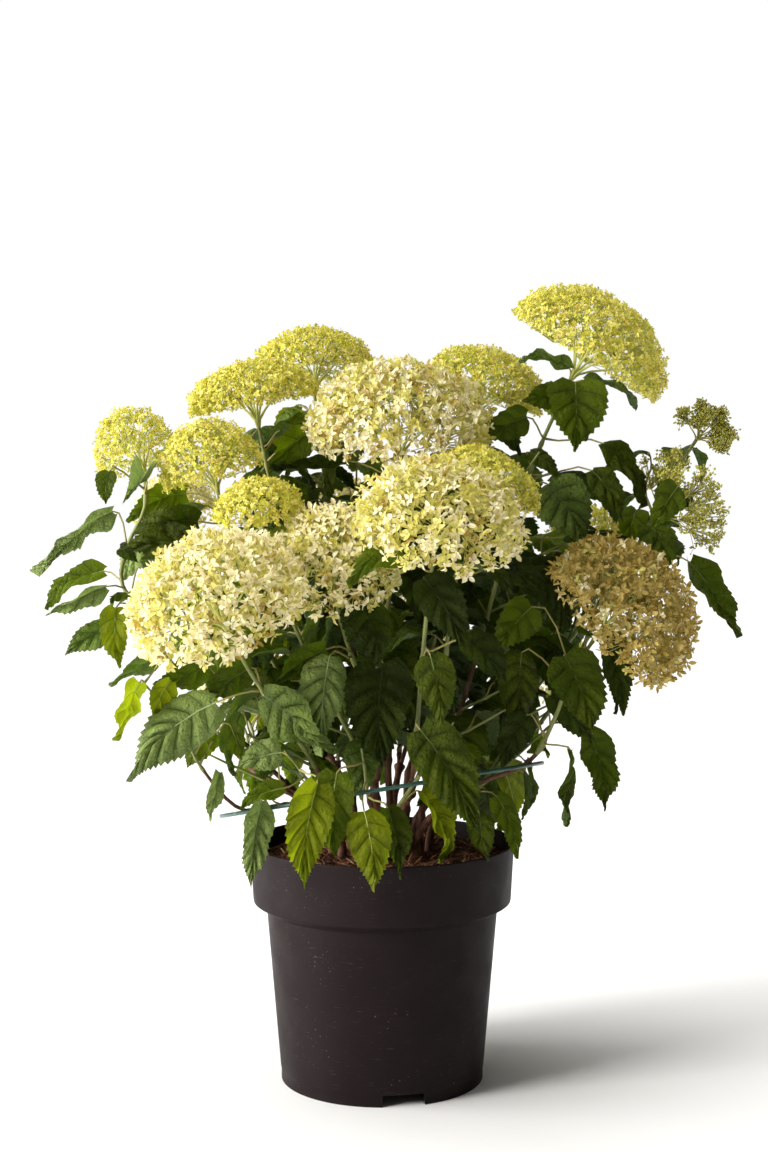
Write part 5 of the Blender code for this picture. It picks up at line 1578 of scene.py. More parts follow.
def scatter(sheaf, shapes, places, normals, sizes, numbers):
    """A copy of one of the shapes at each place."""
    frames = frames_on(normals, numbers.uniform(0, TURN, len(places)))
    picks = numbers.integers(0, len(shapes), len(places))
    for pick, (corners, triangles, quads) in enumerate(shapes):
        chosen = np.flatnonzero(picks == pick)
        if not len(chosen):
            continue
        placed = np.einsum("nij,kj->nki", frames[chosen], corners) * sizes[chosen, None, None]
        placed = placed + places[chosen, None, :]
        start = sheaf.count
        offsets = np.arange(len(chosen))[:, None, None] * len(corners)
        sheaf.add(placed.reshape(-1, 3), (offsets + np.array(triangles)[None]).reshape(-1, 3))
        if quads:
            sheaf.add_faces((offsets + np.array(quads)[None]).reshape(-1, 4), start)


def head_matrix(head):
    """How the head is turned and the middle of its rim, as arrays."""
    turn = np.array([tuple(row)[:3] for row in head_frame(head)])[:3]
    return turn, np.array(rim_centre(head))


def dome_places(head, count, numbers, low, share, lumps=0.07):
    """Evenly spread places over the dome, with the outward direction at each."""
    turn, middle = head_matrix(head)
    index = np.arange(count)
    lowest = math.cos(math.radians(low))
    rise = 1 - (1 - lowest) * (index + numbers.uniform(0, 1, count)) / count
    spin = index * GOLDEN_TURN + numbers.normal(0, 0.12, count)
    out = np.sqrt(1 - rise**2)
    ways = np.stack((out * np.cos(spin), out * np.sin(spin), rise), -1)
    seed = Vector((head.x * 40, head.y * 40, head.z * 40))
    bulge = np.array([noise.noise(Vector(w) * 2.6 + seed) for w in ways]) * lumps
    reach = head.radius * (numbers.uniform(*share, count) + bulge)
    scale = np.array((1.0, 1.0, head.dome))
    places = ways * scale * reach[:, None]
    normals = ways / scale
    normals /= np.linalg.norm(normals, axis=1, keepdims=True)
    return places @ turn.T + middle, normals @ turn.T


def add_rays(sheaf, head, numbers):
    """The branching stalks under the dome. Returns the ends that the pedicels spread from."""
    turn, middle = head_matrix(head)
    begin = hub(head)
    axis = head_axis(head)
    ends = []
    main, fine = RAY_FORKS
    for index in range(main):
        spin = index * GOLDEN_TURN + numbers.uniform(-0.2, 0.2)
        slope = RAY_SPREAD * math.sqrt((index + 0.35) / main)
        out = RAY_KNOT * head.radius
        level = math.sin(slope)
        local = np.array((level * math.cos(spin), level * math.sin(spin), math.cos(slope)))
        knot = Vector(turn @ (local * (out, out, out * head.dome)) + middle)
        way = (knot - begin).normalized()
        add_limb(sheaf, bezier(begin - axis * 0.004, axis, knot, way, 4, pull=0.3), RAY_RADII, 6)
        for _ in range(fine):
            spread = local + numbers.normal(0, 0.42, 3)
            spread /= np.linalg.norm(spread)
            spread[2] = max(spread[2], -0.2)
            tip = Vector(turn @ (spread * (1, 1, head.dome)) * head.radius * RAY_TIP + middle)
            add_limb(sheaf, bezier(knot, way, tip, (tip - knot).normalized(), 3), BRANCH_RADII, 4)
            ends.append(tip)
    return np.array([tuple(e) for e in ends])


def pedicels(sheaf, ends, places, radius):
    """A thin stalk from each floret back to the nearest ray."""
    gaps = np.linalg.norm(places[:, None] - ends[None], axis=2)
    starts = ends[np.argmin(gaps, axis=1)]
    sheaf.add(*rods(starts, places, radius * 1.3, radius))


# ---- The plant ----



def fine_twigs(shoot, points, obstacles):
    """More twigs, between the ones of the solid and finer."""
    length = path_length(points)
    found = []
    for index in range(int((length - FINE_TWIG_FIRST) / FINE_TWIG_SPACING)):
        rng = random.Random(f"{shoot.name} fine {index}")
        distance = FINE_TWIG_FIRST + FINE_TWIG_SPACING * (index + rng.uniform(-0.2, 0.2))
        place = along_path(points, distance, math.radians(shoot.phase))
        for _ in range(TWIG_TRIES):
            path = twig_path(place, rng.uniform(0, TURN), rng.uniform(*FINE_TWIG_LENGTH), 0.3, 0.15)
            if twig_fits(shoot, path, obstacles):
                found.append(path)
                break
    return found


def kept_open(blade):
    """The front stays open round its large leaves, below the heads and along the outer branches."""
    tip = blade_point(blade, 1, 0)
    low = min(blade.base.z, tip.z) < OPEN_BELOW
    outer = max(abs(blade.base.x), abs(tip.x)) > OPEN_OUTER
    front = OPEN_OUTER_FRONT if outer else OPEN_FRONT
    return min(blade.base.y, tip.y) < front and (low or outer)


def nearest_on(points, place):
    """(how far the place is from the path, how far along the path its nearest point is)."""
    best, walked = (math.inf, 0.0), 0.0
    for before, after in zip(points, points[1:]):
        step = after - before
        share = max(0.0, min(1.0, (place - before).dot(step) / step.length_squared))
        gap = (before + step * share - place).length
        best = min(best, (gap, walked + share * step.length))
        walked += step.length
    return best


def finer_growth(grown, obstacles):
    """Grows on from the solids' stems: {shoot name: (finer twigs, finer leaves)}."""
    more = {}
    for shoot in SHOOTS:
        more[shoot.name] = (fine_twigs(shoot, grown[shoot.name][0], obstacles), [])
    for turn, size in enumerate(FINE_SIZES):
        for shoot in SHOOTS:
            twigs, leaves = more[shoot.name]
            for index, twig in enumerate(twigs):
                place = (twig, TWIG_RADIUS, path_length(twig) * FINE_TWIG_PLACES[turn], turn)
                leaves += grow_pair(shoot, *place, size, f"fine {index}", obstacles)
    for shoot in SHOOTS:
        points, leaves = grown[shoot.name][0], more[shoot.name][1]
        length = path_length(points)
        count = int(length / FINE_STEM_SPACING)
        for pair in range(count):
            place = (points, SHOOT_RADIUS, 0.02 + (length - 0.03) * (pair + 0.5) / count, pair + 1)
            leaves += grow_pair(shoot, *place, FINE_STEM_SIZE, "fine stem", obstacles)
    for shoot in SHOOTS:
        twigs, leaves = more[shoot.name]
        leaves = [blade for blade in leaves if not kept_open(blade)]
        twigs = [twig for twig in twigs if any(nearest_on(twig, b.root)[0] < NEAR for b in leaves)]
        more[shoot.name] = (twigs, leaves)
    return more


def stem_line(points, radius, end_radius, joints):
    """A smooth stem with a swelling at each joint: (points, radii)."""
    length = path_length(points)
    distances = set(np.linspace(0, length, max(3, int(length / STEM_STEP))))
    for joint in joints:
        beside = (joint + offset for offset in (-0.006, -0.002, 0.001, 0.005))
        distances.update(d for d in beside if 0 < d < length)
    distances = sorted(distances)
    radii = []
    for distance in distances:
        swell = sum(NODE_SWELL * math.exp(-(((distance - joint) / NODE_LENGTH) ** 2)) for joint in joints)
        taper = radius + (end_radius - radius) * distance / length
        radii.append(taper * (1 + min(swell, NODE_SWELL_LIMIT)))
    return smooth_path(points, distances), radii




def leaf_tone(shoot, index, blade, rng):
    """Set leaves have their own tone. The rest are fresher on the left and low down and deeper inside and to
    the right: partly painted light on the left, where the light comes from, and painted shade on the right.
    """
    named = SET_TONES.get(shoot.name, "")
    if index < len(named):
        return next(tone for tone in LEAF_TONES if tone[0] == named[index])
    spray = random.Random(f"{shoot.name} tone")
    side = blade.base.x + spray.uniform(-0.10, 0.10) + rng.uniform(-0.08, 0.08)
    weights = next(weights for edge, weights in TONES_BY_SIDE if side < edge)
    if blade.base.z < LOW_LEAVES:
        weights = tuple(w + extra for w, extra in zip(weights, LOW_TONES))
    return rng.choices(LEAF_TONES, weights)[0]


def lines_of(points, twigs):
    """The shoot's stem and twigs as (path, smooth line), the stem first."""
    lines = []
    for path in (points, *twigs):
        total = path_length(path)
        lines.append((path, smooth_path(path, np.linspace(0, total, max(4, int(total / 0.004))))))
    return lines


def add_stem(sheaf, shoot, points, roots):
    """The shoot's stem, brown at its foot, from just inside the knuckle to the rays."""
    begin = points[0] - (points[1] - points[0]).normalized() * 0.006
    tip_radius = HUB_RADIUS if shoot.head.kind != "leafy" else LEAFY_TIP_RADIUS
    places, radii = stem_line([begin, *points[1:]], SHOOT_RADIUS * 0.98, tip_radius, roots)
    start = len(sheaf.faces)
    add_limb(sheaf, places, radii, STEM_SIDES)
    woody = shoot.cane in WOODY_CANES or shoot.name.startswith("leafy")
    brown = int((len(places) - 1) * (WOODY_BROWN_SHARE if woody else BROWN_SHARE))
    sheaf.finishes[start][: brown * STEM_SIDES] = 1


def build_foliage(grown, more):
    """Stems, twigs and leaves. Each leaf hangs on the nearest line of its shoot."""
    leaves = {tone: Sheaf() for tone in LEAF_TONES}
    stems = Sheaf()
    for shoot in SHOOTS:
        points, twigs, set_and_seeded = grown[shoot.name]
        finer_twigs, finer_leaves = more[shoot.name]
        every_leaf = [*set_and_seeded, *finer_leaves]
        lines = lines_of(points, [*twigs, *finer_twigs])
        owners = [[] for _ in lines]
        for blade in every_leaf:
            gaps = [min((p - blade.root).length for p in line) for _, line in lines]
            owners[gaps.index(min(gaps))].append(blade)
        for index, (path, line) in enumerate(lines):
            roots = [blade.root for blade in owners[index]]
            if index == 0:
                roots += [twig[0] for twig in twigs]
            joints = sorted(set(round(nearest_on(path, root)[1], 3) for root in roots))
            if index == 0:
                add_stem(stems, shoot, path, joints)
            else:
                places, radii = stem_line(path, TWIG_RADIUS * 0.95, TWIG_TIP_RADIUS * 0.7, joints)
                add_limb(stems, places, radii, FINE_TWIG_SIDES)
            for blade in owners[index]:
                rng = random.Random(f"{shoot.name} {tuple(round(c, 4) for c in blade.base)}")
                tone = leaf_tone(shoot, every_leaf.index(blade), blade, rng)
                add_leaf(leaves[tone], blade, rng, line)
    petiole = stem_finish("petiole", (0.22, 0.22, 0.05), (0.36, 0.30, 0.11))
    for tone, (dark, light, under, glow, vein, rib, roughness) in LEAF_COLOURS.items():
        gloss, share = LEAF_GLOSS.get(tone, 0.12), GLOW_SHARE.get(tone, 0.18)
        finishes = [
            leaf_finish("leaf_" + tone, dark, light, under, glow, roughness, gloss, share),
            petiole,
            stem_finish("rib_" + tone, rib, tuple(1.35 * c for c in rib)),
            # The side-vein strips: a darker green that serves as painted shade in their grooves.
            leaf_finish("vein_" + tone, vein, vein, under, glow, roughness + 0.1),
        ]
        leaves[tone].piece("leaves_" + tone, finishes, "leafy_shoot", SHOOT_NODES)
    green = stem_finish("stem_green", (0.115, 0.140, 0.032), (0.245, 0.265, 0.075))
    brown = bark_finish("stem_brown", (0.050, 0.020, 0.012), (0.115, 0.055, 0.030), (0.22, 0.14, 0.08))
    stems.piece("stems", [green, brown], "leafy_shoot", SHOOT_NODES)




def numbers_for(head):
    """The head's own random numbers."""
    return np.random.default_rng(int(1e4 * abs(head.x + 2 * head.y + 3 * head.z)))


def petal_shares(shoot, inner):
    """Which florets take which tone: {tone: the upper end of its share}."""
    # The inner layer takes more of the deeper tones, which are partly painted shade inside the head; the lime
    # heads' bright and deep tones are partly lit and shaded copies of one colour.
    if shoot.head.kind == "lime":
        return {"bright": 0.2 if inner else 0.55, "deep": 0.8 if inner else 0.85, "gold": 1.0}
    tan = TAN_SHARE.get(shoot.name, 0.03) + (0.20 if inner else 0)
    pale = (0.18 if inner else PALE_SHARE.get(shoot.name, 0.76)) * (1 - tan)
    return {"pale": pale, "green": 1 - tan, "tan": 1.0}


def build_florets(shoot, petals, stalks):
    """An open bloom: rays under the dome, and two layers of florets on thin stalks."""
    head, rule = shoot.head, FLORETS[shoot.head.kind]
    numbers = numbers_for(head)
    rng = random.Random(shoot.name)
    ends = add_rays(stalks, head, numbers)
    shapes = [floret_shape(head.kind, rng) for _ in range(FLORET_SHAPES)]
    count = int(rule.density * FULLER.get(shoot.name, 1.0) * head.radius**2)
    for share, part, disorder in rule.layers:
        number = int(count * part)
        places, normals = dome_places(head, number, numbers, rule.lowest, share)
        normals = normals + numbers.normal(0, disorder, normals.shape)
        normals /= np.linalg.norm(normals, axis=1, keepdims=True)
        sizes = numbers.uniform(*rule.spread, number) * rule.size
        lots = numbers.uniform(0, 1, number)
        low = 0.0
        for tone, high in petal_shares(shoot, part < 0.5).items():
            chosen = (lots >= low) & (lots < high)
            low = high
            if chosen.any():
                scatter(petals[tone], shapes, places[chosen], normals[chosen], sizes[chosen], numbers)
        pedicels(stalks, ends, places[::2], rule.stalk)


def build_bud(shoot, buds, stalks):
    """An unopened bloom: loose clusters of branchlets with small buds at their ends."""
    head = shoot.head
    numbers = numbers_for(head)
    turn, middle = head_matrix(head)
    begin = hub(head)
    axis = head_axis(head)
    size = head.radius * BUD_CLUSTER_SHARE * 1.15
    for local in cluster_places(head):
        centre = turn @ np.array(local) + middle
        way = centre - np.array(begin)
        way /= np.linalg.norm(way)
        knot = Vector(centre - way * size * 0.9)
        path = bezier(begin - axis * 0.003, axis, knot, Vector(way), 5, pull=0.35)
        add_limb(stalks, path, BUD_RAY_RADII, 5)
        spread = numbers.normal(0, 1, (BUD_SPRAYS, 3)) + way * 0.8
        spread /= np.linalg.norm(spread, axis=1, keepdims=True)
        ends = centre + spread * size * numbers.uniform(0.5, 1.08, (BUD_SPRAYS, 1))
        stalks.add(*rods(np.repeat([tuple(knot)], len(ends), 0), ends, 0.00045, 0.00030))
        scattered = numbers.normal(0, 1, (BUD_SPRAYS, BUDS_PER_SPRAY, 3)) * 0.0020
        tips = (ends[:, None] + scattered).reshape(-1, 3)
        ends = np.repeat(ends, BUDS_PER_SPRAY, 0)
        stalks.add(*rods(ends, tips, 0.00026, 0.00020))
        normals = tips - ends
        normals /= np.linalg.norm(normals, axis=1, keepdims=True)
        sizes = numbers.uniform(0.7, 1.3, len(tips)) * BUD_SIZE
        scatter(buds, [bud_shape()], tips, normals, sizes, numbers)




PETALS = {  # (finish, darker, lighter, light from behind, its share) for each piece blossom_KIND_TONE
    "cream": {
        "pale": ("petal_cream", (0.84, 0.77, 0.44), (0.93, 0.88, 0.66), (0.94, 0.85, 0.46), 0.34),
        "green": ("petal_cream_green", (0.57, 0.52, 0.12), (0.78, 0.73, 0.28), (0.80, 0.74, 0.16), 0.34),
        # The tan florets are dark enough to be partly painted shade.
        "tan": ("petal_cream_tan", (0.34, 0.25, 0.040), (0.64, 0.49, 0.165), (0.50, 0.37, 0.05), 0.28),
    },
    "lime": {
        "bright": ("petal_lime", (0.74, 0.68, 0.12), (0.92, 0.85, 0.29), (0.90, 0.84, 0.12), 0.36),
        "deep": ("petal_lime_deep", (0.48, 0.47, 0.05), (0.64, 0.61, 0.10), (0.68, 0.68, 0.06), 0.36),
        "gold": ("petal_lime_gold", (0.60, 0.50, 0.09), (0.78, 0.68, 0.20), (0.80, 0.66, 0.10), 0.36),
    },
}


def build_blossom():
    """The florets and their stalks, kind by kind."""
    petals = {kind: {tone: Sheaf() for tone in tones} for kind, tones in PETALS.items()}
    stalks = {kind: Sheaf() for kind in ("cream", "lime", "bud")}
    buds = Sheaf()
    for shoot in SHOOTS:
        kind = shoot.head.kind
        if kind in PETALS:
            build_florets(shoot, petals[kind], stalks[kind])
        elif kind == "bud":
            build_bud(shoot, buds, stalks[kind])
    nodes = {kind: ["shoot_" + s.name for s in SHOOTS if s.head.kind == kind] for kind in stalks}
    for kind, tones in PETALS.items():
        for tone, finish in tones.items():
            petals[kind][tone].piece(
                f"blossom_{kind}_{tone}", [petal_finish(*finish)], kind + "_shoot", nodes[kind], smooth=False
            )
    stalk = stem_finish("flower_stalk", (0.46, 0.50, 0.12), (0.62, 0.62, 0.22))
    bud_stalk = stem_finish("bud_stalk", (0.30, 0.29, 0.06), (0.46, 0.43, 0.11))
    bud = petal_finish("bud", (0.46, 0.45, 0.06), (0.70, 0.66, 0.15), (0.6, 0.58, 0.08), 0.25)
    for kind, finish in (("cream", stalk), ("lime", stalk), ("bud", bud_stalk)):
        stalks[kind].piece("stalks_" + kind, [finish], kind + "_shoot", nodes[kind])
    buds.piece("blossom_bud", [bud], "bud_shoot", nodes["bud"])


def bark_relief(distance, number, angles):
    """How far the bark of that cane stands out at each angle round it."""
    found = []
    for angle in angles:
        x, y = math.cos(angle), math.sin(angle)
        bump = noise.noise(Vector((2.2 * x, 2.2 * y, distance * 60 + 9 * number)))
        ridge = noise.noise(Vector((4 * x, 4 * y, distance * 22 + 5 * number + 50)))
        found.append(1 + CANE_RELIEF * bump + CANE_RELIEF * ridge)
    return found


def build_canes():
    """Woody canes with shallow bark relief, each ending in the knuckle that its shoots grow from."""
    sheaf = Sheaf()
    angles = TURN * np.arange(CANE_FINE_SIDES) / CANE_FINE_SIDES
    for number, cane in enumerate(CANES):
        points = cane_points(cane)
        length = path_length(points)
        distances = np.linspace(0, length, int(length / CANE_FINE_STEP))
        line = smooth_path(points, distances)
        radii = []
        for distance in distances:
            share = distance / length
            radius = FOOT_RADIUS + (FORK_RADIUS - FOOT_RADIUS) * share
            radius *= 1 + 0.5 * math.exp(-distance / CANE_END_LENGTH)
            to_fork = (length - distance) / CANE_END_LENGTH
            radius += (KNUCKLE_RADIUS - FORK_RADIUS) * math.exp(-(to_fork**2))
            for joint in CANE_JOINTS:
                to_joint = (share - joint) * length / CANE_JOINT_LENGTH
                radius *= 1 + CANE_JOINT_SWELL * math.exp(-(to_joint**2))
            radii.append([radius * relief_here for relief_here in bark_relief(distance, number, angles)])
        line[0] = line[0] - UP * 0.003
        add_limb(sheaf, line, radii, CANE_FINE_SIDES)
    bark = bark_finish("cane_bark", (0.036, 0.012, 0.008), (0.105, 0.040, 0.022), (0.22, 0.125, 0.075))
    sheaf.piece("canes", [bark], "cane_bark", CANE_NODES)


# ---- Pot, mulch and hoop ----



def fine_pot_profile():
    """The pot's profile with its rounded lip, softened corners and the faint step above the skirt."""
    floor = SKIRT_HEIGHT + WALL
    foot = BODY_FOOT_RADIUS
    slope = (BODY_TOP_RADIUS - foot) / (BODY_TOP - SKIRT_HEIGHT)
    inner_foot = foot - SKIRT_STEP - WALL
    heights = np.linspace(SKIRT_HEIGHT + 0.002, BODY_TOP - 0.002, 14)
    body = [(foot + slope * (z - SKIRT_HEIGHT), z) for z in heights]
    band_slope = (RIM_RADIUS - BAND_FOOT_RADIUS) / (POT_HEIGHT - BAND_FOOT)
    heights = np.linspace(BAND_FOOT + 0.0035, POT_HEIGHT - 0.0045, 8)
    band = [(BAND_FOOT_RADIUS + band_slope * (z - BAND_FOOT), z) for z in heights]
    lip = []
    for step in range(9):
        angle = math.pi * step / 8
        lip.append((RIM_RADIUS - LIP + LIP * math.cos(angle), POT_HEIGHT - LIP + LIP * math.sin(angle)))
    return [
        (0, 0),
        (PAD_RADIUS, 0),
        (PAD_RADIUS + WALL, SKIRT_HEIGHT),
        (inner_foot, SKIRT_HEIGHT),
        (inner_foot, 0),
        (foot - SKIRT_STEP - 0.0004, 0),
        (foot - SKIRT_STEP, 0.0004),
        (foot - SKIRT_STEP, SKIRT_HEIGHT - 0.0010),
        (foot - 0.0001, SKIRT_HEIGHT + 0.0002),
        *body,
        (BODY_TOP_RADIUS + 0.0012, BODY_TOP - 0.0002),
        (BAND_FOOT_RADIUS - 0.0016, BAND_FOOT - 0.0002),
        (BAND_FOOT_RADIUS - 0.0003, BAND_FOOT + 0.0008),
        *band,
        *lip,
        (RIM_RADIUS - 2 * LIP, POT_HEIGHT - 0.006),
        (BAND_FOOT_RADIUS - WALL, BAND_FOOT + WALL),
        (BODY_TOP_RADIUS - WALL, BODY_TOP + WALL),
        (foot - WALL, floor),
        (0, floor),
    ]


BLACK, WHITE = grey(0), grey(1)


def plastic_finish():
    """Dull near-black plastic, with dust, scratches and a faint orange peel."""
    made, tree, shader = begin_finish("pot_plastic", 0.5, 0.10)
    cloud = noise_of(tree, 9, 5)
    base = ramp(tree, cloud, (0.30, (0.0074, 0.0038, 0.0042)), (0.72, (0.0118, 0.0066, 0.0072)))
    specks = ramp(tree, noise_of(tree, 520, 1), (0.735, BLACK), (0.765, WHITE))
    patches = ramp(tree, noise_of(tree, 17, 3), (0.55, BLACK), (0.70, WHITE))
    dust = mixed(tree, 1.0, specks, patches, "MULTIPLY")
    base = mixed(tree, dust, base, (0.22, 0.20, 0.18))
    scratches = noise_of(tree, 75, 2, stretch=(1, 1, 9))
    rubbed = ramp(tree, scratches, (0.66, BLACK), (0.78, grey(0.35)))
    base = mixed(tree, rubbed, base, (0.055, 0.050, 0.050))
    tree.links.new(base, shader.inputs["Base Color"])
    rough = ramp(tree, noise_of(tree, 30, 6), (0.3, grey(0.44)), (0.7, grey(0.60)))
    tree.links.new(rough, shader.inputs["Roughness"])
    orange_peel = noise_of(tree, 900, 2)
    waves = noise_of(tree, 14, 2, stretch=(1, 1, 0.35))
    relief(tree, shader, (orange_peel, 0.12, 0.0004), (waves, 0.25, 0.004), (scratches, 0.06, 0.0006))
    return made


def notch_cutter(angle):
    """A block that cuts one notch through the skirt. It narrows a little upwards."""
    half_depth = WALL + SKIRT_STEP
    corners = []
    for z, width in ((-0.01, 1 + NOTCH_FLARE), (SKIRT_HEIGHT - SKIRT_STEP, 1 - NOTCH_FLARE)):
        for x, y in ((-1, -1), (1, -1), (1, 1), (-1, 1)):
            corners.append(((0.01 + half_depth) * x, NOTCH_WIDTH / 2 * width * y, z))
    loops = [(0, 3, 2, 1), (4, 5, 6, 7), (0, 1, 5, 4), (1, 2, 6, 5), (2, 3, 7, 6), (3, 0, 4, 7)]
    mesh = bpy.data.meshes.new("notch")
    mesh.from_pydata(corners, [], loops)
    place = Matrix.Translation((BODY_FOOT_RADIUS - half_depth, 0, 0))
    mesh.transform(Matrix.Rotation(angle, 4, "Z") @ place)
    return linked("notch", mesh)


def build_fine_pot():
    """The pot's shell with its notches cut and its edges shaded."""
    corners, faces = turned(fine_pot_profile(), POT_FINE_SEGMENTS)
    mesh = bpy.data.meshes.new("pot_shell")
    mesh.from_pydata([tuple(c) for c in corners], [], faces)
    shell = linked("pot_shell", mesh)
    made = bmesh.new()
    made.from_mesh(mesh)
    bmesh.ops.recalc_face_normals(made, faces=made.faces)
    made.to_mesh(mesh)
    made.free()
    for index in range(NOTCH_COUNT):
        cutter = notch_cutter(NOTCH_FIRST + TURN * index / NOTCH_COUNT)
        modifier = shell.modifiers.new("notch", "BOOLEAN")
        modifier.operation = "DIFFERENCE"
        modifier.solver = "EXACT"
        modifier.object = cutter
        graph = bpy.context.evaluated_depsgraph_get()
        result = bpy.data.meshes.new_from_object(shell.evaluated_get(graph))
        shell.modifiers.clear()
        shell.data = result
        bpy.data.objects.remove(cutter)
    shell.data.materials.clear()
    shell.data.materials.append(plastic_finish())
    made = bmesh.new()
    made.from_mesh(shell.data)
    for edge in made.edges:
        edge.smooth = edge.calc_face_angle(0.0) < SOFTEST_EDGE
    for face in made.faces:
        face.smooth = True
    made.to_mesh(shell.data)
    made.free()
    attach(shell, "root")
    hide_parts("pot")


def mulch_height(x, y):
    """How high the surface of the mulch is there."""
    reach = math.hypot(x, y)
    slope = MULCH_TOP + (MULCH_EDGE - MULCH_TOP) * max(0.0, reach - MULCH_FLAT_RADIUS) / 0.067
    place = Vector((x * 38, y * 38, 0.3))
    return slope + 0.0026 * noise.noise(place) + 0.0016 * noise.noise(place * 3.1) - 0.0016


def circle(radius):
    """The places round a circle at which the mulch has corners."""
    angles = [TURN * segment / MULCH_FINE_SEGMENTS for segment in range(MULCH_FINE_SEGMENTS)]
    return [(radius * math.cos(angle), radius * math.sin(angle)) for angle in angles]


def mulch_bed(edge):
    """The uneven surface of the mulch, closed underneath."""
    segments = MULCH_FINE_SEGMENTS
    floor = SKIRT_HEIGHT + WALL + GAP
    corners = [(0, 0, mulch_height(0, 0))]
    for radius in np.linspace(0.0, edge, MULCH_RINGS)[1:]:
        corners += [(x, y, mulch_height(x, y)) for x, y in circle(radius)]
    for radius, z in ((BODY_TOP_RADIUS - WALL - 2 * GAP, BODY_TOP), (BODY_FOOT_RADIUS - WALL - GAP, floor)):
        corners += [(x, y, z) for x, y in circle(radius)]
    middle, last = len(corners), len(corners) - segments
    corners.append((0, 0, floor))
    quads, fans = [], []
    for segment in range(segments):
        after = (segment + 1) % segments
        for low in range(1, last, segments):
            quads.append((low + segment, low + segments + segment, low + segments + after, low + after))
        fans += [(0, 1 + segment, 1 + after), (middle, last + after, last + segment)]
    sheaf = Sheaf()
    sheaf.add(corners, quads)
    sheaf.add_faces(fans, 0)
    return sheaf


def add_chip(sheaves, index, edge, rng):
    """A thin bent chip of bark that lies anywhere on the mulch, in one of the three tones."""
    reach = (edge - 0.006) * math.sqrt(rng.random())
    angle = rng.uniform(0, TURN)
    x, y = reach * math.cos(angle), reach * math.sin(angle)
    long = rng.uniform(*CHIP_LENGTH) * (LONG_CHIP if index % 9 == 0 else 1)
    wide = long * rng.uniform(*CHIP_WIDTH)
    spin = rng.uniform(0, TURN)
    tilt = rng.gauss(0, 0.30)
    way = Vector((math.cos(spin) * math.cos(tilt), math.sin(spin) * math.cos(tilt), math.sin(tilt)))
    other = across(way)[1]
    middle = Vector((x, y, mulch_height(x, y) + rng.uniform(0.0002, 0.0014)))
    bow = other * long * rng.uniform(-0.16, 0.16)
    path = [middle - way * long, middle - way * long * 0.3 + bow, middle + way * long * 0.4 + bow]
    path.append(middle + way * long)
    if max(math.hypot(p.x, p.y) for p in path) > edge - 0.001:
        return
    corners, quads, ends = limb(path, [wide * f * 0.5 for f in CHIP_ENDS], 4, rng.uniform(0, 3))
    squash = rng.uniform(0.35, 0.8)
    height = (corners - np.array(middle)) @ np.array(other)
    corners = corners - np.outer(height, other) * (1 - squash)
    chosen = sheaves[rng.choices((0, 1, 2), (5, 4, 2))[0]]
    start = chosen.count
    chosen.add(corners, quads)
    chosen.add_faces(ends, start)


def build_mulch():
    """A bed of shredded bark: an uneven surface with long thin chips lying on it every way."""
    edge = max(math.hypot(c.x, c.y) for c in mulch_shape()[0])
    bed = bark_finish("mulch_bed", (0.020, 0.008, 0.005), (0.060, 0.022, 0.012), (0.12, 0.050, 0.026))
    mulch_bed(edge).piece("mulch_bed", [bed], "bark_mulch", ["mulch"])
    chips = [Sheaf() for _ in range(3)]
    rng = random.Random("chips")
    for index in range(CHIP_COUNT):
        add_chip(chips, index, edge, rng)
    tones = (
        ("mulch_red", (0.085, 0.026, 0.013), (0.17, 0.058, 0.028), (0.24, 0.10, 0.05)),
        ("mulch_brown", (0.035, 0.013, 0.008), (0.085, 0.033, 0.018), (0.14, 0.06, 0.035)),
        ("mulch_pale", (0.16, 0.075, 0.040), (0.27, 0.14, 0.075), (0.36, 0.22, 0.13)),
    )
    for chosen, (name, *colours) in zip(chips, tones):
        chosen.piece(name, [bark_finish(name, *colours)], "bark_mulch", ["mulch"], smooth=False)


def build_hoop():
    """The ring of wire, green with worn grey spots."""
    sheaf = Sheaf()
    sheaf.add(*hoop_shape(HOOP_FINE_SEGMENTS, HOOP_FINE_SIDES))
    made, tree, shader = begin_finish("hoop_green", 0.34, 0.5)
    worn = ramp(tree, noise_of(tree, 130, 4), (0.60, BLACK), (0.70, WHITE))
    tint = ramp(tree, noise_of(tree, 45, 3), (0.3, (0.008, 0.045, 0.034)), (0.7, (0.020, 0.085, 0.062)))
    tree.links.new(mixed(tree, worn, tint, (0.16, 0.19, 0.17)), shader.inputs["Base Color"])
    relief(tree, shader, (noise_of(tree, 400, 3), 0.3, 0.0005))
    sheaf.piece("hoop", [made], "hoop_green", ["support_hoop"])


# ---- Stage, light and camera ----


def build_stage():
    """A plain pale floor."""
    far = FLOOR_REACH
    mesh = bpy.data.meshes.new("floor")
    mesh.from_pydata([(-far, -far, 0), (far, -far, 0), (far, far, 0), (-far, far, 0)], [], [(0, 1, 2, 3)])
    made, _, shader = begin_finish("floor", 0.9, 0.1)
    shader.inputs["Base Color"].default_value = (0.90, 0.90, 0.91, 1)
    mesh.materials.append(made)
    linked("floor", mesh)


def add_lamp(name, lamp, power, colour, place, aim):
    """A light at that place, turned towards aim."""
    lamp.energy = power
    lamp.color = colour
    thing = linked(name, lamp, place)
    thing.rotation_euler = (aim - Vector(place)).to_track_quat("-Z", "Y").to_euler()


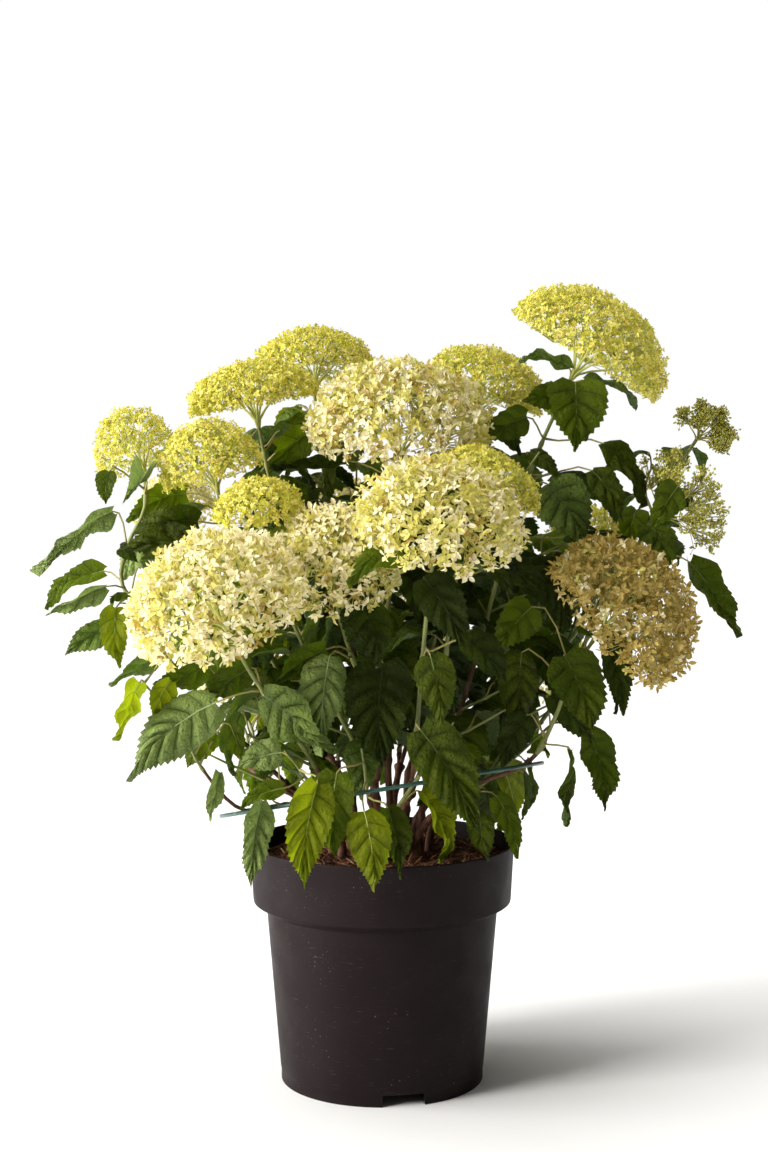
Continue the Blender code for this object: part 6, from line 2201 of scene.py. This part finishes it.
def add_sun(name, place, power, spread, colour):
    """A broad soft light from that direction."""
    lamp = bpy.data.lights.new(name, "SUN")
    lamp.angle = math.radians(spread)
    add_lamp(name, lamp, power, colour, place, Vector())


def add_panel(name, place, size, power, colour):
    """A square soft light turned towards the middle of the plant."""
    lamp = bpy.data.lights.new(name, "AREA")
    lamp.size = size
    add_lamp(name, lamp, power, colour, place, MIDDLE)


def build_light():
    """Soft warm light from the left and above, and a white background for the camera alone."""
    world = bpy.data.worlds.new("studio")
    bpy.context.scene.world = world
    world.use_nodes = True
    tree = world.node_tree
    background = tree.nodes["Background"]
    background.inputs["Color"].default_value = (1.0, 0.95, 0.86, 1)
    background.inputs["Strength"].default_value = 0.10
    seen = tree.nodes.new("ShaderNodeBackground")
    seen.inputs["Color"].default_value = (1, 1, 1, 1)
    seen.inputs["Strength"].default_value = 1.0
    path = tree.nodes.new("ShaderNodeLightPath")
    both = tree.nodes.new("ShaderNodeMixShader")
    tree.links.new(path.outputs["Is Camera Ray"], both.inputs[0])
    tree.links.new(background.outputs[0], both.inputs[1])
    tree.links.new(seen.outputs[0], both.inputs[2])
    tree.links.new(both.outputs[0], tree.nodes["World Output"].inputs["Surface"])
    add_sun("key", (-2.2, -1.3, 1.15), 3.1, 20, (1.0, 0.98, 0.93))
    add_sun("top", (-0.5, 0.3, 3.0), 2.6, 60, (1.0, 0.99, 0.97))
    add_panel("softbox", (-2.2, -0.35, 0.70), 1.5, 70, (1.0, 0.98, 0.95))


def build_camera():
    """The photo's camera."""
    camera = bpy.data.cameras.new("camera")
    camera.sensor_width = SENSOR
    camera.lens = FOCAL_PIXELS * SENSOR / PICTURE_HEIGHT
    thing = linked("camera", camera, CAMERA_PLACE)
    thing.rotation_euler = (math.radians(90 - CAMERA_DROP), 0, 0)
    bpy.context.scene.camera = thing


grown, obstacles = grow()
build_foliage(grown, finer_growth(grown, obstacles))
build_blossom()
build_canes()
build_fine_pot()
build_mulch()
build_hoop()
build_stage()
build_light()
build_camera()
bpy.context.scene.view_settings.view_transform = "Standard"
